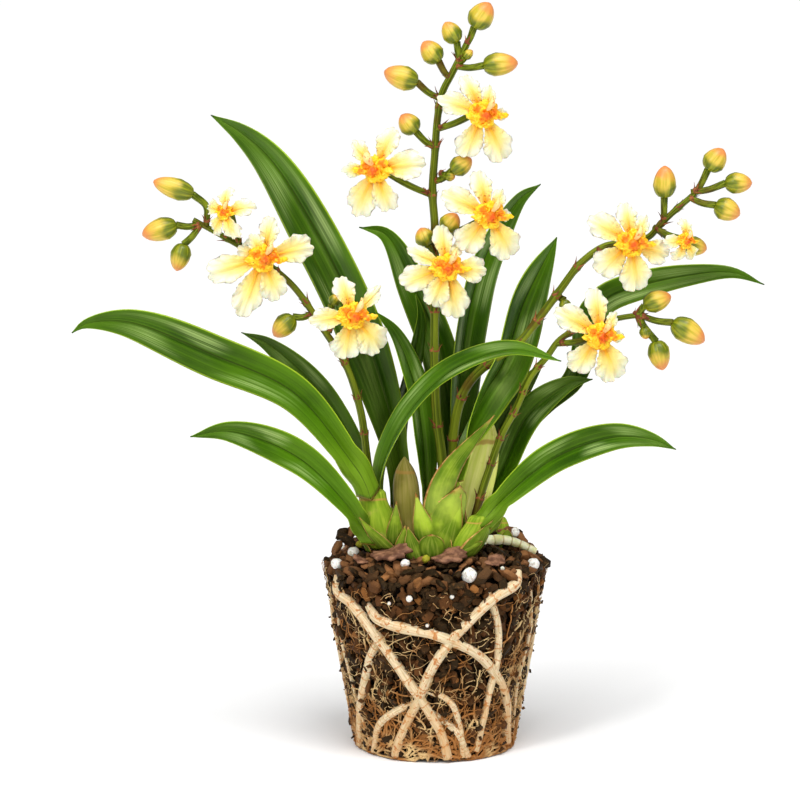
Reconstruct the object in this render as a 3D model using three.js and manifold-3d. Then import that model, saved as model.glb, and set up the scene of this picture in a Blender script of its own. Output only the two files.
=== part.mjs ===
// Oncidium orchid lifted from its pot: a root ball of bark mix held by cream roots, pseudobulbs,
// arching strap leaves and four flower spikes with open blooms and buds.
// Millimetres, +Z up, origin at the centre of the flat base of the root ball. The front is -Y.

import * as THREE from 'three';
import { mergeVertices } from 'three/addons/utils/BufferGeometryUtils.js';
import Module from 'manifold-3d';

const wasm = await Module();
wasm.setup();

// ---------------------------------------------------------------- driving dimensions
const GAP = 0.32; // clear space left between neighbouring pieces
const BALL = { base: 34.5, shoulder: 48, height: 78, crown: 89, sides: 24, tiers: 5 };
const CHIP = { top: 12, side: 26, long: [8, 13], wide: [6, 9], thick: [3, 4.6], clear: 6.6 };
const PERLITE_RADIUS = 2.5;
const ROOT = { radius: 1.75, sides: 5, bed: 3.6, sunk: 0.8, hoop: 2.6 };
const BLADE = { thick: 1.1, edge: 0.6, steps: 8, narrowest: 0.9 };
const TEPAL = { thick: 0.75, rows: 4, columns: 2, layer: 0.55, claw: 2.2, broad: 19.5 };
const TEPAL_FORM = { cup: 1.6, curl: 2.4, ruffle: 0.13, keel: 0.05, tuck: 0.1 };
const STALK = { sides: 5, pedicel: 0.95 };
const BRACT = { foot: 1.26, tip: 0.35, out: 3.6, up: 3.4, sunk: 0.8 };
const COLLAR = { neck: 1.1, back: 4, waist: 2.8, rim: 4.2, crown: 2.2, ruffle: 0.4, sides: 6 };
const KNOB_RADIUS = 1.25;
const SHEATH = { proud: 0.75, flare: 0.5, sunk: 1.4 };
const SMALL = 0.6; // size of a half-opened bloom beside a full one
const GOLDEN_ANGLE = 137.508; // spreads what grows round a stem or over the ball
const FRAME_STEPS = 32; // places along a curve where its frame is worked out

const v3 = (x, y, z) => new THREE.Vector3(x, y, z);
const degrees = THREE.MathUtils.degToRad;
const mix = THREE.MathUtils.lerp;
const smooth = THREE.MathUtils.smoothstep;

// Repeatable random numbers in 0..1.
function seeded(seed) {
  let state = seed;
  return () => {
    state = (state * 1664525 + 1013904223) % 4294967296;
    return state / 4294967296;
  };
}

// ---------------------------------------------------------------- closed solids
function indexed(points, faces) {
  const geometry = new THREE.BufferGeometry().setFromPoints(points);
  geometry.setIndex(faces.flat());
  return geometry;
}

function solidOf(geometry) {
  const bare = geometry.clone();
  bare.deleteAttribute('normal');
  bare.deleteAttribute('uv');
  const joined = mergeVertices(bare, 1e-4);
  return new wasm.Manifold(new wasm.Mesh({
    numProp: 3,
    vertProperties: new Float32Array(joined.attributes.position.array),
    triVerts: new Uint32Array(joined.index.array),
  }));
}

const fuse = (solids) => solids.reduce((whole, piece) => whole.add(piece));

// The largest body of a solid: scraps that a cut leaves loose are dropped.
function mainBody(solid) {
  return solid.decompose().reduce((best, piece) => (piece.volume() > best.volume() ? piece : best));
}

function geometryOf(solid) {
  const { vertProperties, triVerts, numProp } = solid.getMesh();
  const points = [];
  for (let i = 0; i < vertProperties.length; i += numProp) {
    points.push(v3(vertProperties[i], vertProperties[i + 1], vertProperties[i + 2]));
  }
  const geometry = new THREE.BufferGeometry().setFromPoints(points);
  geometry.setIndex([...triVerts]);
  geometry.computeVertexNormals();
  return geometry;
}

// Rings of equal length joined in a skin, each end closed by a fan round a middle point.
function loft(rings, ends = [null, null]) {
  const sides = rings[0].length;
  const points = rings.flat();
  const faces = [];
  for (let r = 0; r + 1 < rings.length; r++) {
    for (let s = 0; s < sides; s++) {
      const [a, b] = [r * sides + s, r * sides + (s + 1) % sides];
      faces.push([a, b, b + sides], [a, b + sides, a + sides]);
    }
  }
  [rings[0], rings.at(-1)].forEach((ring, end) => {
    const middle = ends[end] ?? ring.reduce((sum, p) => sum.add(p), v3(0, 0, 0)).divideScalar(sides);
    const hub = points.push(middle) - 1;
    const first = end * (rings.length - 1) * sides;
    for (let s = 0; s < sides; s++) {
      const [a, b] = [first + s, first + (s + 1) % sides];
      faces.push(end ? [hub, a, b] : [hub, b, a]);
    }
  });
  return solidOf(indexed(points, faces));
}

// A round body along a path, its radius read off [place, radius] pairs that run from 0 to 1.
// `grow` swells it all round and carries both ends out by as much.
function stalk(path, profile, sides, grow = 0) {
  const curve = path.length > 2
    ? new THREE.CatmullRomCurve3(path, false, 'centripetal')
    : new THREE.LineCurve3(path[0], path[1]);
  const frames = curve.computeFrenetFrames(FRAME_STEPS, false);
  const rings = profile.map(([place, radius]) => {
    const end = Number(place === 1) - Number(place === 0);
    const centre = curve.getPointAt(place).addScaledVector(curve.getTangentAt(place), end * grow);
    const frame = Math.round(place * FRAME_STEPS);
    return Array.from({ length: sides }, (_, s) => {
      const turn = (s / sides) * 2 * Math.PI;
      return centre.clone()
        .addScaledVector(frames.normals[frame], (radius + grow) * Math.cos(turn))
        .addScaledVector(frames.binormals[frame], (radius + grow) * Math.sin(turn));
    });
  });
  return loft(rings);
}

const evenly = (count, radius) => Array.from({ length: count + 1 }, (_, i) => [i / count, radius(i / count)]);

// A thin sheet between a grid of upper points and the same grid of lower points.
function sheet(upper, lower) {
  const [rows, columns] = [upper.length, upper[0].length];
  const points = [...upper.flat(), ...lower.flat()];
  const under = rows * columns;
  const at = (r, c) => r * columns + c;
  const faces = [];
  const wall = (a, b) => faces.push([a, a + under, b + under], [a, b + under, b]);
  for (let r = 0; r + 1 < rows; r++) {
    for (let c = 0; c + 1 < columns; c++) {
      const [a, b, d, e] = [at(r, c), at(r, c + 1), at(r + 1, c + 1), at(r + 1, c)];
      const halves = (r + c) % 2 ? [[a, b, d], [a, d, e]] : [[a, b, e], [b, d, e]];
      halves.forEach(([i, j, k]) => faces.push([i, j, k], [i + under, k + under, j + under]));
    }
    wall(at(r + 1, 0), at(r, 0));
    wall(at(r, columns - 1), at(r + 1, columns - 1));
  }
  for (let c = 0; c + 1 < columns; c++) {
    wall(at(0, c), at(0, c + 1));
    wall(at(rows - 1, c + 1), at(rows - 1, c));
  }
  return solidOf(indexed(points, faces));
}

// ---------------------------------------------------------------- strap leaves
// Each leaf follows a path from its sheath to its tip. `turn` is how far the upper face is rolled
// round to the front at the base and at the tip, `fold` how far each half rises from flat there.
const LEAVES = {
  leaf_tall_left: {
    path: [[-14, 13, 97], [-15, 13, 114], [-21, 15, 138], [-32, 20, 176],
      [-50, 26, 213], [-71, 32, 245], [-96, 42, 264]],
    width: 19, turn: [80, 62], fold: [38, 9],
  },
  leaf_long_left: {
    path: [[-26.5, -9, 109], [-37, -12, 126], [-60, -17, 153],
      [-93, -23, 172], [-128, -29, 186], [-150, -34, 183]],
    width: 18, turn: [62, 52], fold: [48, 14],
  },
  leaf_inner_left: {
    path: [[-22, 9, 96], [-29, 9, 112], [-35, 11, 126], [-49, 16, 150], [-70, 21, 168], [-81, 24, 172]],
    width: 13, turn: [62, 50], fold: [40, 16],
  },
  leaf_low_left: {
    path: [[-26, -14, 91], [-36, -17, 107], [-58, -26, 130], [-87, -38, 142], [-101, -44, 141]],
    width: 15, turn: [58, 44], fold: [46, 16],
  },
  leaf_back_centre: {
    path: [[6, 18, 97], [6, 19, 114], [5, 22, 133], [-1, 27, 165],
      [-11, 32, 191], [-23, 38, 212], [-32, 40, 215]],
    width: 17, turn: [82, 64], fold: [34, 12],
  },
  leaf_back_right: {
    path: [[7, 12, 97], [7, 13, 114], [9, 16, 143], [14, 25, 176],
      [22, 35, 202], [36, 46, 225], [45, 52, 231]],
    width: 19, turn: [80, 66], fold: [40, 12],
  },
  leaf_front_right: {
    path: [[-1, -16, 105], [7, -13, 124], [17, -6, 141], [30, 7, 165], [40, 19, 190], [52, 31, 212]],
    width: 20, turn: [84, 76], fold: [44, 10],
  },
  leaf_long_right: {
    path: [[18, 18, 92], [26, 18, 107], [38, 18, 125], [56, 17, 152],
      [67, 21, 179], [80, 22, 192], [111, 21, 201], [139, 20, 193]],
    width: 18, turn: [66, 44], fold: [44, 12],
  },
  leaf_inner_right: {
    path: [[22, 8, 92], [22, 6, 104], [28, 6, 117], [39, 8, 140], [56, 11, 153], [66, 12, 155]],
    width: 14, turn: [66, 50], fold: [46, 14],
  },
  leaf_low_right: {
    path: [[15, -16, 95], [26, -18, 109], [48, -24, 127], [73, -34, 139], [97, -44, 136]],
    width: 16, turn: [58, 46], fold: [46, 16],
  },
  leaf_arching: {
    path: [[-21, -1, 97], [-22, -2, 110], [-20, -10, 126], [-10, -20, 148],
      [7, -30, 166], [30, -41, 176], [49, -52, 174]],
    width: 14, turn: [76, 38], fold: [44, 16],
  },
  leaf_middle: {
    path: [[-3, 4, 96], [-3, 4, 112], [-4, 3, 129], [-9, 0, 156], [-18, -4, 177], [-26, -6, 187]],
    width: 12, turn: [84, 70], fold: [40, 14],
  },
  leaf_slim_back: {
    path: [[-12, 17, 97], [-13, 17, 114], [-15, 18, 132], [-11, 20, 155], [-7, 21, 180], [-9, 21, 190]],
    width: 11, turn: [84, 70], fold: [34, 12],
  },
  leaf_slim_right: {
    path: [[14, 7, 96], [18, 7, 112], [25, 9, 130], [34, 12, 147], [46, 15, 163]],
    width: 11, turn: [80, 66], fold: [40, 14],
  },
};

// Half the blade's width at a place along it: a narrow channelled foot, a long even blade, a point.
function bladeShape(place) {
  const foot = 0.5 + 0.5 * smooth(place, 0, 0.42);
  const point = place > 0.5 ? 1 - ((place - 0.5) / 0.5) ** 2.3 : 1;
  return foot * point;
}

function leaf({ path, width, turn, fold }, grow = 0) {
  const curve = new THREE.CatmullRomCurve3(path.map((p) => v3(...p)), false, 'centripetal');
  const [root, tip] = [curve.getPoint(0), curve.getPoint(1)];
  const level = v3(tip.x - root.x, tip.y - root.y, 0).normalize().cross(v3(0, 0, 1));
  const [upper, lower] = [[], []];
  for (let step = 0; step <= BLADE.steps; step++) {
    const place = step / BLADE.steps;
    const along = curve.getTangentAt(place);
    const centre = curve.getPointAt(place);
    if (step === 0) centre.addScaledVector(along, -grow);
    if (step === BLADE.steps) centre.addScaledVector(along, grow);
    const sky = level.clone().cross(along).normalize();
    const side = along.clone().cross(sky);
    const front = side.clone().multiplyScalar(-Math.sign(side.y) || 1);
    const roll = degrees(mix(turn[0], turn[1], place));
    const face = sky.clone().multiplyScalar(Math.cos(roll)).addScaledVector(front, Math.sin(roll));
    const across = along.clone().cross(face).normalize();
    const rise = degrees(mix(fold[0], fold[1], Math.sqrt(place)));
    const half = Math.max(BLADE.narrowest, width * bladeShape(place)) / 2 + grow;
    const core = mix(BLADE.thick, BLADE.edge, place) / 2 + grow;
    const rows = [[], []];
    [-1, 0, 1].forEach((hand) => {
      const reach = centre.clone()
        .addScaledVector(across, hand * half * Math.cos(rise))
        .addScaledVector(face, Math.abs(hand) * half * Math.sin(rise));
      const out = face.clone().multiplyScalar(hand ? Math.cos(rise) : 1)
        .addScaledVector(across, -hand * Math.sin(rise));
      const depth = hand ? BLADE.edge / 2 + grow : core / Math.cos(rise);
      rows[0].push(reach.clone().addScaledVector(out, depth));
      rows[1].push(reach.clone().addScaledVector(out, -depth));
    });
    upper.push(rows[0]);
    lower.push(rows[1]);
  }
  return sheet(upper, lower);
}

// ---------------------------------------------------------------- flower spikes
// A spike is a stem, short pedicels that carry buds or blooms, buds, and small dry bracts at nodes.
// bud: [foot of pedicel, foot of bud, tip of bud, radius]; hold: [foot of pedicel, back of bloom].
const SPIKES = {
  spike_left: {
    stem: [[-25, 4, 97], [-29, 0, 121], [-32, -3, 144], [-38, -6, 164], [-47, -8, 179], [-60, -9, 198],
      [-73, -10, 209], [-87, -11, 218], [-101, -12, 226]],
    girth: [1.9, 1.0],
    buds: [
      [[-101, -12, 226], [-106, -15, 234], [-115, -16, 243], 3.9],
      [[-98, -12, 224], [-108, -14, 224], [-122, -14, 220], 4.3],
      [[-98, -12, 224], [-105, -14, 216], [-108, -14, 205], 3.7],
      [[-52, -8.5, 186], [-60, -10, 185], [-68, -10, 177], 4.0],
      [[-45, -8, 178], [-44, -8, 190], [-41, -8, 194], 2.1],
    ],
    holds: [[[-66, -9.5, 204], [-72, -16, 211]], [[-41, -7, 170], [-36, -15, 185]],
      [[-82, -11, 216], [-85, -14, 228]]],
    nodes: [0.24, 0.44, 0.63],
  },
  spike_centre: {
    stem: [[4, -2, 97], [2, -3, 125], [0, -3, 141], [-1, -4, 165], [-1, -4, 195], [-1, -4, 222],
      [-2, -4, 237], [-1, -4, 253], [0, -4, 267], [2, -5, 278], [6, -5, 286], [12, -5, 298]],
    girth: [2.2, 1.05],
    buds: [
      [[12, -5, 298], [16, -6, 305], [22, -6, 315], 4.7],
      [[9, -5, 291], [8, -6, 299], [3, -6, 307], 3.6],
      [[6, -5, 286], [1, -6, 292], [-6, -6, 299], 4.1],
      [[1, -4, 271], [-8, -8, 280], [-22, -8, 287], 4.5],
      [[7, -5, 288], [18, -8, 288], [32, -8, 291], 4.3],
      [[-1, -4, 252], [-8, -7, 261], [-15, -8, 269], 4.0],
      [[-1, -4, 241], [6, -9, 246], [14, -10, 251], 3.7],
      [[-1, -4, 210], [3, -8, 221], [8, -9, 228], 3.9],
      [[-1, -4, 210], [-4, -8, 215], [-7, -8, 222], 3.6],
    ],
    holds: [[[-2, -4, 235], [-22, -9, 246]], [[-1, -4, 256], [18, -10, 267]], [[-1, -4, 217], [20, -13, 227]],
      [[-1, -4, 201], [3, -14, 206]]],
    nodes: [0.2, 0.36, 0.52, 0.78],
  },
  spike_upper_right: {
    stem: [[8, 4, 97], [7, 3, 133], [12, 0, 153], [22, -4, 165], [33, -4, 172], [43, -3, 184],
      [51, -3, 195], [60, -4, 207], [70, -4, 214], [81, -4, 216], [88, -5, 219], [93, -6, 226],
      [100, -7, 232], [106, -8, 239]],
    girth: [1.9, 1.0],
    buds: [
      [[93, -6, 226], [93, -8, 236], [93, -9, 248], 4.3],
      [[106, -8, 239], [109, -9, 246], [117, -9, 255], 4.3],
      [[105, -8, 237], [119, -10, 241], [130, -10, 241], 3.9],
      [[104, -7.5, 235], [115, -11, 232], [125, -12, 228], 4.3],
      [[90, -5, 222], [103, -6, 215], [112, -6, 213], 3.5],
      [[50, 1, 194], [53, -2, 191], [54, -3, 186], 2.0],
    ],
    holds: [[[66, -3.5, 212], [78, -13, 217]], [[90, -5, 222], [102, -14, 218]]],
    nodes: [0.28, 0.46, 0.6, 0.9],
  },
  spike_lower_right: {
    stem: [[14, -13, 94], [19, -12, 112], [22, -11, 121], [27, -10, 135], [33, -8, 146], [39, -6, 159],
      [46, -7, 168], [51, -8, 175], [59, -9, 180], [69, -10, 183], [77, -11, 185], [84, -11, 186]],
    girth: [1.8, 1.0],
    buds: [
      [[82, -11, 186], [86, -11, 190], [97, -11, 194], 4.0],
      [[84, -11, 186], [98, -12, 183], [111, -12, 175], 4.7],
      [[83, -11, 186], [91, -12, 175], [94, -12, 163], 4.1],
      [[83, -11, 186], [86, -12, 181], [87, -12, 176], 2.0],
    ],
    holds: [[[50, -8, 173.5], [66, -16, 178]]],
    nodes: [0.24, 0.42, 0.6],
  },
};

const BUD_SHAPE = [[0.03, 0.4], [0.36, 1], [0.72, 0.82], [1, 0.2]];

// A bud with its pedicel: one body that swells from a thin stalk.
function bud([from, foot, tip, radius], grow) {
  const path = [from, foot, tip].map((p) => v3(...p));
  const [bare, swollen] = [path[0].distanceTo(path[1]), path[1].distanceTo(path[2])];
  const start = bare / (bare + swollen);
  const width = (share) => Math.max(STALK.pedicel, share * radius);
  const body = BUD_SHAPE.map(([place, share]) => [mix(start, 1, place), width(share)]);
  return stalk(path, [[0, STALK.pedicel], ...body], STALK.sides, grow);
}

// A dry bract: a small spike of three sides that points up and away from the stem.
function bract(curve, place, angle, grow) {
  const centre = curve.getPointAt(place);
  const along = curve.getTangentAt(place);
  const out = v3(Math.cos(angle), Math.sin(angle), 0).projectOnPlane(along).normalize();
  const tip = centre.clone().addScaledVector(out, BRACT.out).addScaledVector(along, BRACT.up);
  const foot = centre.clone().addScaledVector(along, -BRACT.sunk);
  return stalk([foot, tip], [[0, BRACT.foot], [1, BRACT.tip]], 3, grow);
}

function spike({ stem, girth, buds, holds, nodes }, grow = 0) {
  const line = stem.map((p) => v3(...p));
  const curve = new THREE.CatmullRomCurve3(line, false, 'centripetal');
  const profile = evenly(stem.length - 2, (t) => mix(girth[0], girth[1], t));
  const parts = [stalk(line, profile, STALK.sides, grow)];
  nodes.forEach((place, i) => {
    parts.push(bract(curve, place, i * degrees(GOLDEN_ANGLE), grow));
  });
  buds.forEach((one) => parts.push(bud(one, grow)));
  holds.forEach(([from, back]) => {
    parts.push(stalk([v3(...from), v3(...back)], [[0, STALK.pedicel], [1, STALK.pedicel]], 4, grow));
  });
  return fuse(parts);
}

// ---------------------------------------------------------------- blooms
// Each bloom has its middle point, the way it faces (turned about Z, tilted up), and its tepals as
// [clock angle, length, width]: the clock runs from straight up towards the bloom's right hand.
const BLOOMS = {
  bloom_1: {
    at: [-72, -20, 211], face: [12, 6],
    tepals: [[14, 18, 8], [-24, 11, 7], [-66, 11, 7], [-104, 22, 11],
      [198, 25, 11.5], [162, 18, 11], [76, 22, 11]],
  },
  bloom_2: {
    at: [-35, -19, 187], face: [14, 6],
    tepals: [[-17, 17, 9], [-94, 18, 9], [194, 18, 12], [142, 19, 13], [50, 13, 6]],
  },
  bloom_3: {
    at: [-86, -18, 230], face: [-34, 16],
    tepals: [[-10, 11, 6], [-76, 11, 6.5], [210, 11, 6.5], [146, 12, 7], [72, 13, 7]],
  },
  bloom_4: {
    at: [-24, -13, 248], face: [-16, 4],
    tepals: [[22, 18, 8.5], [83, 20, 11.5], [212, 21, 12], [158, 16, 10], [-44, 13, 7], [-94, 12, 5]],
  },
  bloom_5: {
    at: [21, -14, 270], face: [14, 4],
    tepals: [[-26, 18, 7.5], [-69, 20, 9], [207, 19, 10.5], [156, 21, 11.5], [92, 11, 5], [15, 12, 6]],
  },
  bloom_6: {
    at: [22, -17, 229], face: [12, 4],
    tepals: [[-14, 19, 8.5], [-63, 21, 10], [220, 18, 12], [152, 20, 12.5], [92, 10, 5], [30, 12, 6]],
  },
  bloom_7: {
    at: [4, -18.5, 207], face: [4, 6],
    tepals: [[-9, 18, 8], [-64, 18, 6.5], [252, 20, 10.5], [203, 17, 10],
      [169, 21, 12], [95, 16, 10.5], [28, 11, 5]],
  },
  bloom_8: {
    at: [80, -17, 217], face: [10, 4],
    tepals: [[-9, 17, 8], [-58, 20, 10], [230, 18, 12], [174, 20, 12], [110, 17, 10], [31, 13, 6]],
  },
  bloom_9: {
    at: [102, -17, 218], face: [22, 4],
    tepals: [[4, 9, 5.5], [-90, 9, 5.5], [206, 9, 5.5], [152, 9, 5.5]],
  },
  bloom_10: {
    at: [68, -20, 178], face: [12, 4],
    tepals: [[-6, 20, 9], [-58, 21, 10], [218, 18, 11], [160, 20, 13], [95, 11, 5], [38, 12, 5]],
  },
};
const SMALL_BLOOMS = ['bloom_3', 'bloom_9'];
const MIRRORED_BLOOM = 'bloom_4';

// A bloom's own frame: x to its right hand, y up, z out of its face.
function bloomFrame({ at, face }) {
  return new THREE.Matrix4().makeTranslation(...at)
    .multiply(new THREE.Matrix4().makeRotationZ(degrees(face[0])))
    .multiply(new THREE.Matrix4().makeRotationX(degrees(90 - face[1])));
}

// One tepal: narrow at its claw, broadest past the middle, with a wavy edge and a curled end. Its
// upper and lower faces share one grid, split alike.
function tepal([clock, length, width], scale, layer, phase, frame, grow) {
  const claw = TEPAL.claw * scale;
  const rows = length < TEPAL.broad ? TEPAL.rows - 1 : TEPAL.rows;
  const place = frame.clone().multiply(new THREE.Matrix4().makeRotationZ(-degrees(clock)));
  const surface = (u, v) => {
    const half = (width / 2 + grow) * (0.12 + 0.9 * Math.sin(Math.PI * (0.03 + 0.8 * u ** 1.15)));
    const tuck = 1 - TEPAL_FORM.tuck * v * v * u;
    const wave = TEPAL_FORM.ruffle * width * Math.abs(v) ** 1.4 * Math.sin(u * 7.5 + phase + v * 1.3) * u;
    const keel = TEPAL_FORM.keel * width * (1 - v * v);
    const arch = TEPAL_FORM.cup * Math.sin(u * 2.6) - TEPAL_FORM.curl * u ** 3;
    return v3(v * half, claw + (length + grow - claw) * u * tuck, layer + arch + wave - keel);
  };
  const skin = (offset) => Array.from({ length: rows + 1 }, (_, r) => (
    Array.from({ length: TEPAL.columns + 1 }, (__, c) => {
      const point = surface(r / rows, (2 * c) / TEPAL.columns - 1);
      return point.setZ(point.z + offset).applyMatrix4(place);
    })));
  const half = TEPAL.thick / 2 + grow;
  return sheet(skin(half), skin(-half));
}

// The ruffled collar: a button with a wavy rim on the short neck behind the bloom.
function collar(scale, frame, grow) {
  const ring = (radius, z, wave) => Array.from({ length: COLLAR.sides }, (_, s) => {
    const turn = (s / COLLAR.sides) * 2 * Math.PI;
    const r = radius * scale + grow + wave * Math.cos(turn * 3);
    const depth = z * scale + wave * Math.sin(turn * 3);
    return v3(r * Math.cos(turn), r * Math.sin(turn), depth).applyMatrix4(frame);
  });
  const back = ring(COLLAR.neck, -COLLAR.back - grow, 0);
  const waist = ring(COLLAR.waist, -1.6, 0);
  const rim = ring(COLLAR.rim, 0.9, COLLAR.ruffle);
  return loft([back, waist, rim], [null, v3(0, 0, COLLAR.crown * scale + grow).applyMatrix4(frame)]);
}

// The pale column stands up and forward from the middle and ends in a small hood.
function column(scale, hand, frame, grow) {
  const path = [v3(0.4 * hand, 0.4, 0.5), v3(1.8 * hand, 3.0, 3.4), v3(2.6 * hand, 5.4, 5.0)]
    .map((p) => p.multiplyScalar(scale).applyMatrix4(frame));
  return stalk(path, [[0, 1.0 * scale], [0.8, 1.4 * scale], [1, 0.7 * scale]], 4, grow);
}

const sizeOf = (name) => (SMALL_BLOOMS.includes(name) ? SMALL : 1);
const handOf = (name) => (name === MIRRORED_BLOOM ? -1 : 1);

function bloom(name, grow = 0) {
  const frame = bloomFrame(BLOOMS[name]);
  const scale = sizeOf(name);
  const tepals = BLOOMS[name].tepals.map((one, i) => {
    const layer = (i % 2 ? 1 : -1) * TEPAL.layer * scale;
    return tepal(one, scale, layer, i * 2.1, frame, grow);
  });
  return fuse([collar(scale, frame, grow), column(scale, handOf(name), frame, grow), ...tepals]);
}

// The crest: orange knobs, [x, y, z, size], heaped in front of the collar and reaching out to one
// side. A half-opened bloom has one fewer.
const KNOBS = [[0.3, -1.2, 3.6, 1.9], [3.3, -1.0, 4.3, 1.6], [6.2, -0.8, 4.1, 1.2]];

function crest(name, grow = 0) {
  const frame = bloomFrame(BLOOMS[name]);
  const scale = sizeOf(name);
  const knobs = scale < 1 ? KNOBS.slice(0, -1) : KNOBS;
  return fuse(knobs.map(([x, y, z, size], i) => {
    const knob = new THREE.IcosahedronGeometry(KNOB_RADIUS * size * scale + grow, 0);
    knob.rotateX(i * 1.7).rotateY(i * 0.9).translate(x * handOf(name) * scale, y * scale, z * scale);
    return solidOf(knob.applyMatrix4(frame));
  }));
}

// ---------------------------------------------------------------- pseudobulbs
// A bulb leans from its foot to its top; `rings` are [height share, radius share]. Its bracts are
// sheaths that wrap the front half, each [foot share, tip share, bearing, half width in degrees].
const BULBS = {
  bulb_left: { foot: [-24, -14, 84], top: [-26, -10, 115], width: 14.5, depth: 11,
    bracts: [[0.05, 0.72, 55, 62], [0.0, 0.55, -60, 60]] },
  bulb_brown: { foot: [-12, -3, 84], top: [-12, 3, 122], width: 12, depth: 10,
    bracts: [[0.02, 0.55, 40, 60]] },
  bulb_front: { foot: [-1, -21, 83], top: [1, -14, 114], width: 19, depth: 13,
    bracts: [[0.1, 0.84, 8, 66], [0.0, 0.5, -58, 56], [0.0, 0.45, 66, 56]] },
  bulb_tall: { foot: [14, -3, 84], top: [16.5, 0, 133], width: 14, depth: 11,
    bracts: [[0.05, 0.5, 30, 60], [0.02, 0.45, -50, 60]] },
  bulb_right: { foot: [11, -22, 84], top: [20, -18, 105], width: 13, depth: 10,
    bracts: [[0.02, 0.8, 30, 62], [0.0, 0.5, -60, 54]] },
  bulb_small: { foot: [28, 0, 84], top: [28, 0, 98], width: 7, depth: 6.5, bracts: [] },
  bulb_back_left: { foot: [-15, 16, 82], top: [-15, 15, 104], width: 13, depth: 10, bracts: [] },
  bulb_back_right: { foot: [8, 16, 82], top: [8, 15, 104], width: 13, depth: 10, bracts: [] },
};
const BULB_SHAPE = [[0, 0.66], [0.3, 1], [0.58, 0.92], [0.8, 0.6], [1, 0.26]];

function bulb({ foot, top, width, depth, bracts }, grow = 0) {
  const [a, b] = [v3(...foot), v3(...top)];
  const radius = (share) => {
    const next = BULB_SHAPE.findIndex(([place]) => place >= share);
    if (next < 1) return BULB_SHAPE[0][1];
    const [[p0, r0], [p1, r1]] = [BULB_SHAPE[next - 1], BULB_SHAPE[next]];
    return mix(r0, r1, (share - p0) / (p1 - p0));
  };
  const around = (share, bearing, proud) => {
    const r = radius(THREE.MathUtils.clamp(share, 0, 1));
    return a.clone().lerp(b, share).add(v3(
      (r * width / 2 + proud) * Math.sin(bearing), -(r * depth / 2 + proud) * Math.cos(bearing), 0));
  };
  const sides = 8;
  const rings = BULB_SHAPE.map(([share]) => {
    const end = Number(share === 1) - Number(share === 0);
    const reach = (end * grow) / a.distanceTo(b);
    return Array.from({ length: sides }, (_, s) => around(share + reach, (s / sides) * 2 * Math.PI, grow));
  });
  const sheaths = bracts.map(([low, high, bearing, spread]) => {
    const [upper, lower] = [[], []];
    const lift = grow / a.distanceTo(b);
    const widen = THREE.MathUtils.radToDeg((2 * grow) / depth);
    for (let r = 0; r <= 2; r++) {
      const narrow = Math.max(0.05, 1 - (r / 2) ** 1.6);
      const rows = [[], []];
      for (let c = -1; c <= 1; c++) {
        const at = degrees(bearing + c * (spread * narrow + widen));
        const share = mix(low - lift, high + lift, r / 2);
        rows[0].push(around(share, at, SHEATH.proud + SHEATH.flare * (r / 2) + grow));
        rows[1].push(around(share, at, -SHEATH.sunk - grow));
      }
      upper.push(rows[0]);
      lower.push(rows[1]);
    }
    return sheet(upper, lower);
  });
  return fuse([loft(rings), ...sheaths]);
}

// ---------------------------------------------------------------- thick roots
// Each root runs over the ball as [bearing from the front towards +X, height] in degrees and mm. A
// hoop of matted roots goes round the foot of the ball.
const ROOT_RUNS = [
  [[-66, 77], [-64, 71], [-49, 66], [-31, 51], [-11, 30], [3, 14], [9, 2]],
  [[50, 81], [46, 77], [30, 71], [3, 49], [-9, 31], [-24, 11], [-30, 2]],
  [[-44, 75], [-38, 66], [-24, 61], [0, 57], [22, 49], [37, 39], [50, 27], [63, 4]],
  [[-33, 55], [-42, 44], [-49, 33], [-58, 21], [-70, 2]],
  [[28, 77], [36, 60], [39, 45], [36, 31], [30, 4]],
  [[-12, 27], [-27, 22], [-40, 15], [-50, 2]],
  [[-9, 33], [8, 28], [15, 19], [20, 2]],
  [[-2, 22], [14, 14], [24, 2]],
  [[80, 77], [96, 57], [84, 35], [100, 2]],
  [[118, 78], [100, 55], [124, 35], [142, 3]],
  [[150, 78], [176, 55], [160, 31], [180, 3]],
  [[214, 78], [190, 56], [212, 30], [204, 3]],
  [[236, 76], [222, 54], [238, 30], [230, 3]],
  [[262, 78], [284, 51], [256, 27], [272, 2]],
];
const SURFACE_ROOT = [[17, -9, 88], [24, -6, 89.4], [32, -4, 88.2], [42, -4, 84]];

function ballRadius(z) {
  return mix(BALL.base, BALL.shoulder, Math.min(z, BALL.height) / BALL.height);
}

function onBall([bearing, z], proud) {
  const r = ballRadius(z) + proud;
  return v3(r * Math.sin(degrees(bearing)), -r * Math.cos(degrees(bearing)), z);
}

function roots(grow = 0) {
  const runs = ROOT_RUNS.map((run) => {
    const path = run.map((place) => onBall(place, -ROOT.sunk));
    return stalk(path, evenly(run.length - 1, (t) => ROOT.radius * (1.05 - 0.15 * t)), ROOT.sides, grow);
  });
  const turns = 30;
  const hoop = Array.from({ length: turns + 1 }, (_, i) => {
    const turn = (i / turns) * 2 * Math.PI;
    const radius = ballRadius(0) - ROOT.sunk;
    return v3(radius * Math.sin(turn), -radius * Math.cos(turn), ROOT.hoop);
  });
  const halves = [hoop.slice(0, turns / 2 + 2), hoop.slice(turns / 2 - 1)]
    .map((path) => stalk(path, evenly(10, () => ROOT.radius * 0.9), ROOT.sides, grow));
  return fuse([...halves, ...runs]);
}

function surfaceRoot(grow = 0) {
  const beads = evenly(8, (t) => mix(2.3, 1.5, t));
  return stalk(SURFACE_ROOT.map((p) => v3(...p)), beads, 7, grow);
}

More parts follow.
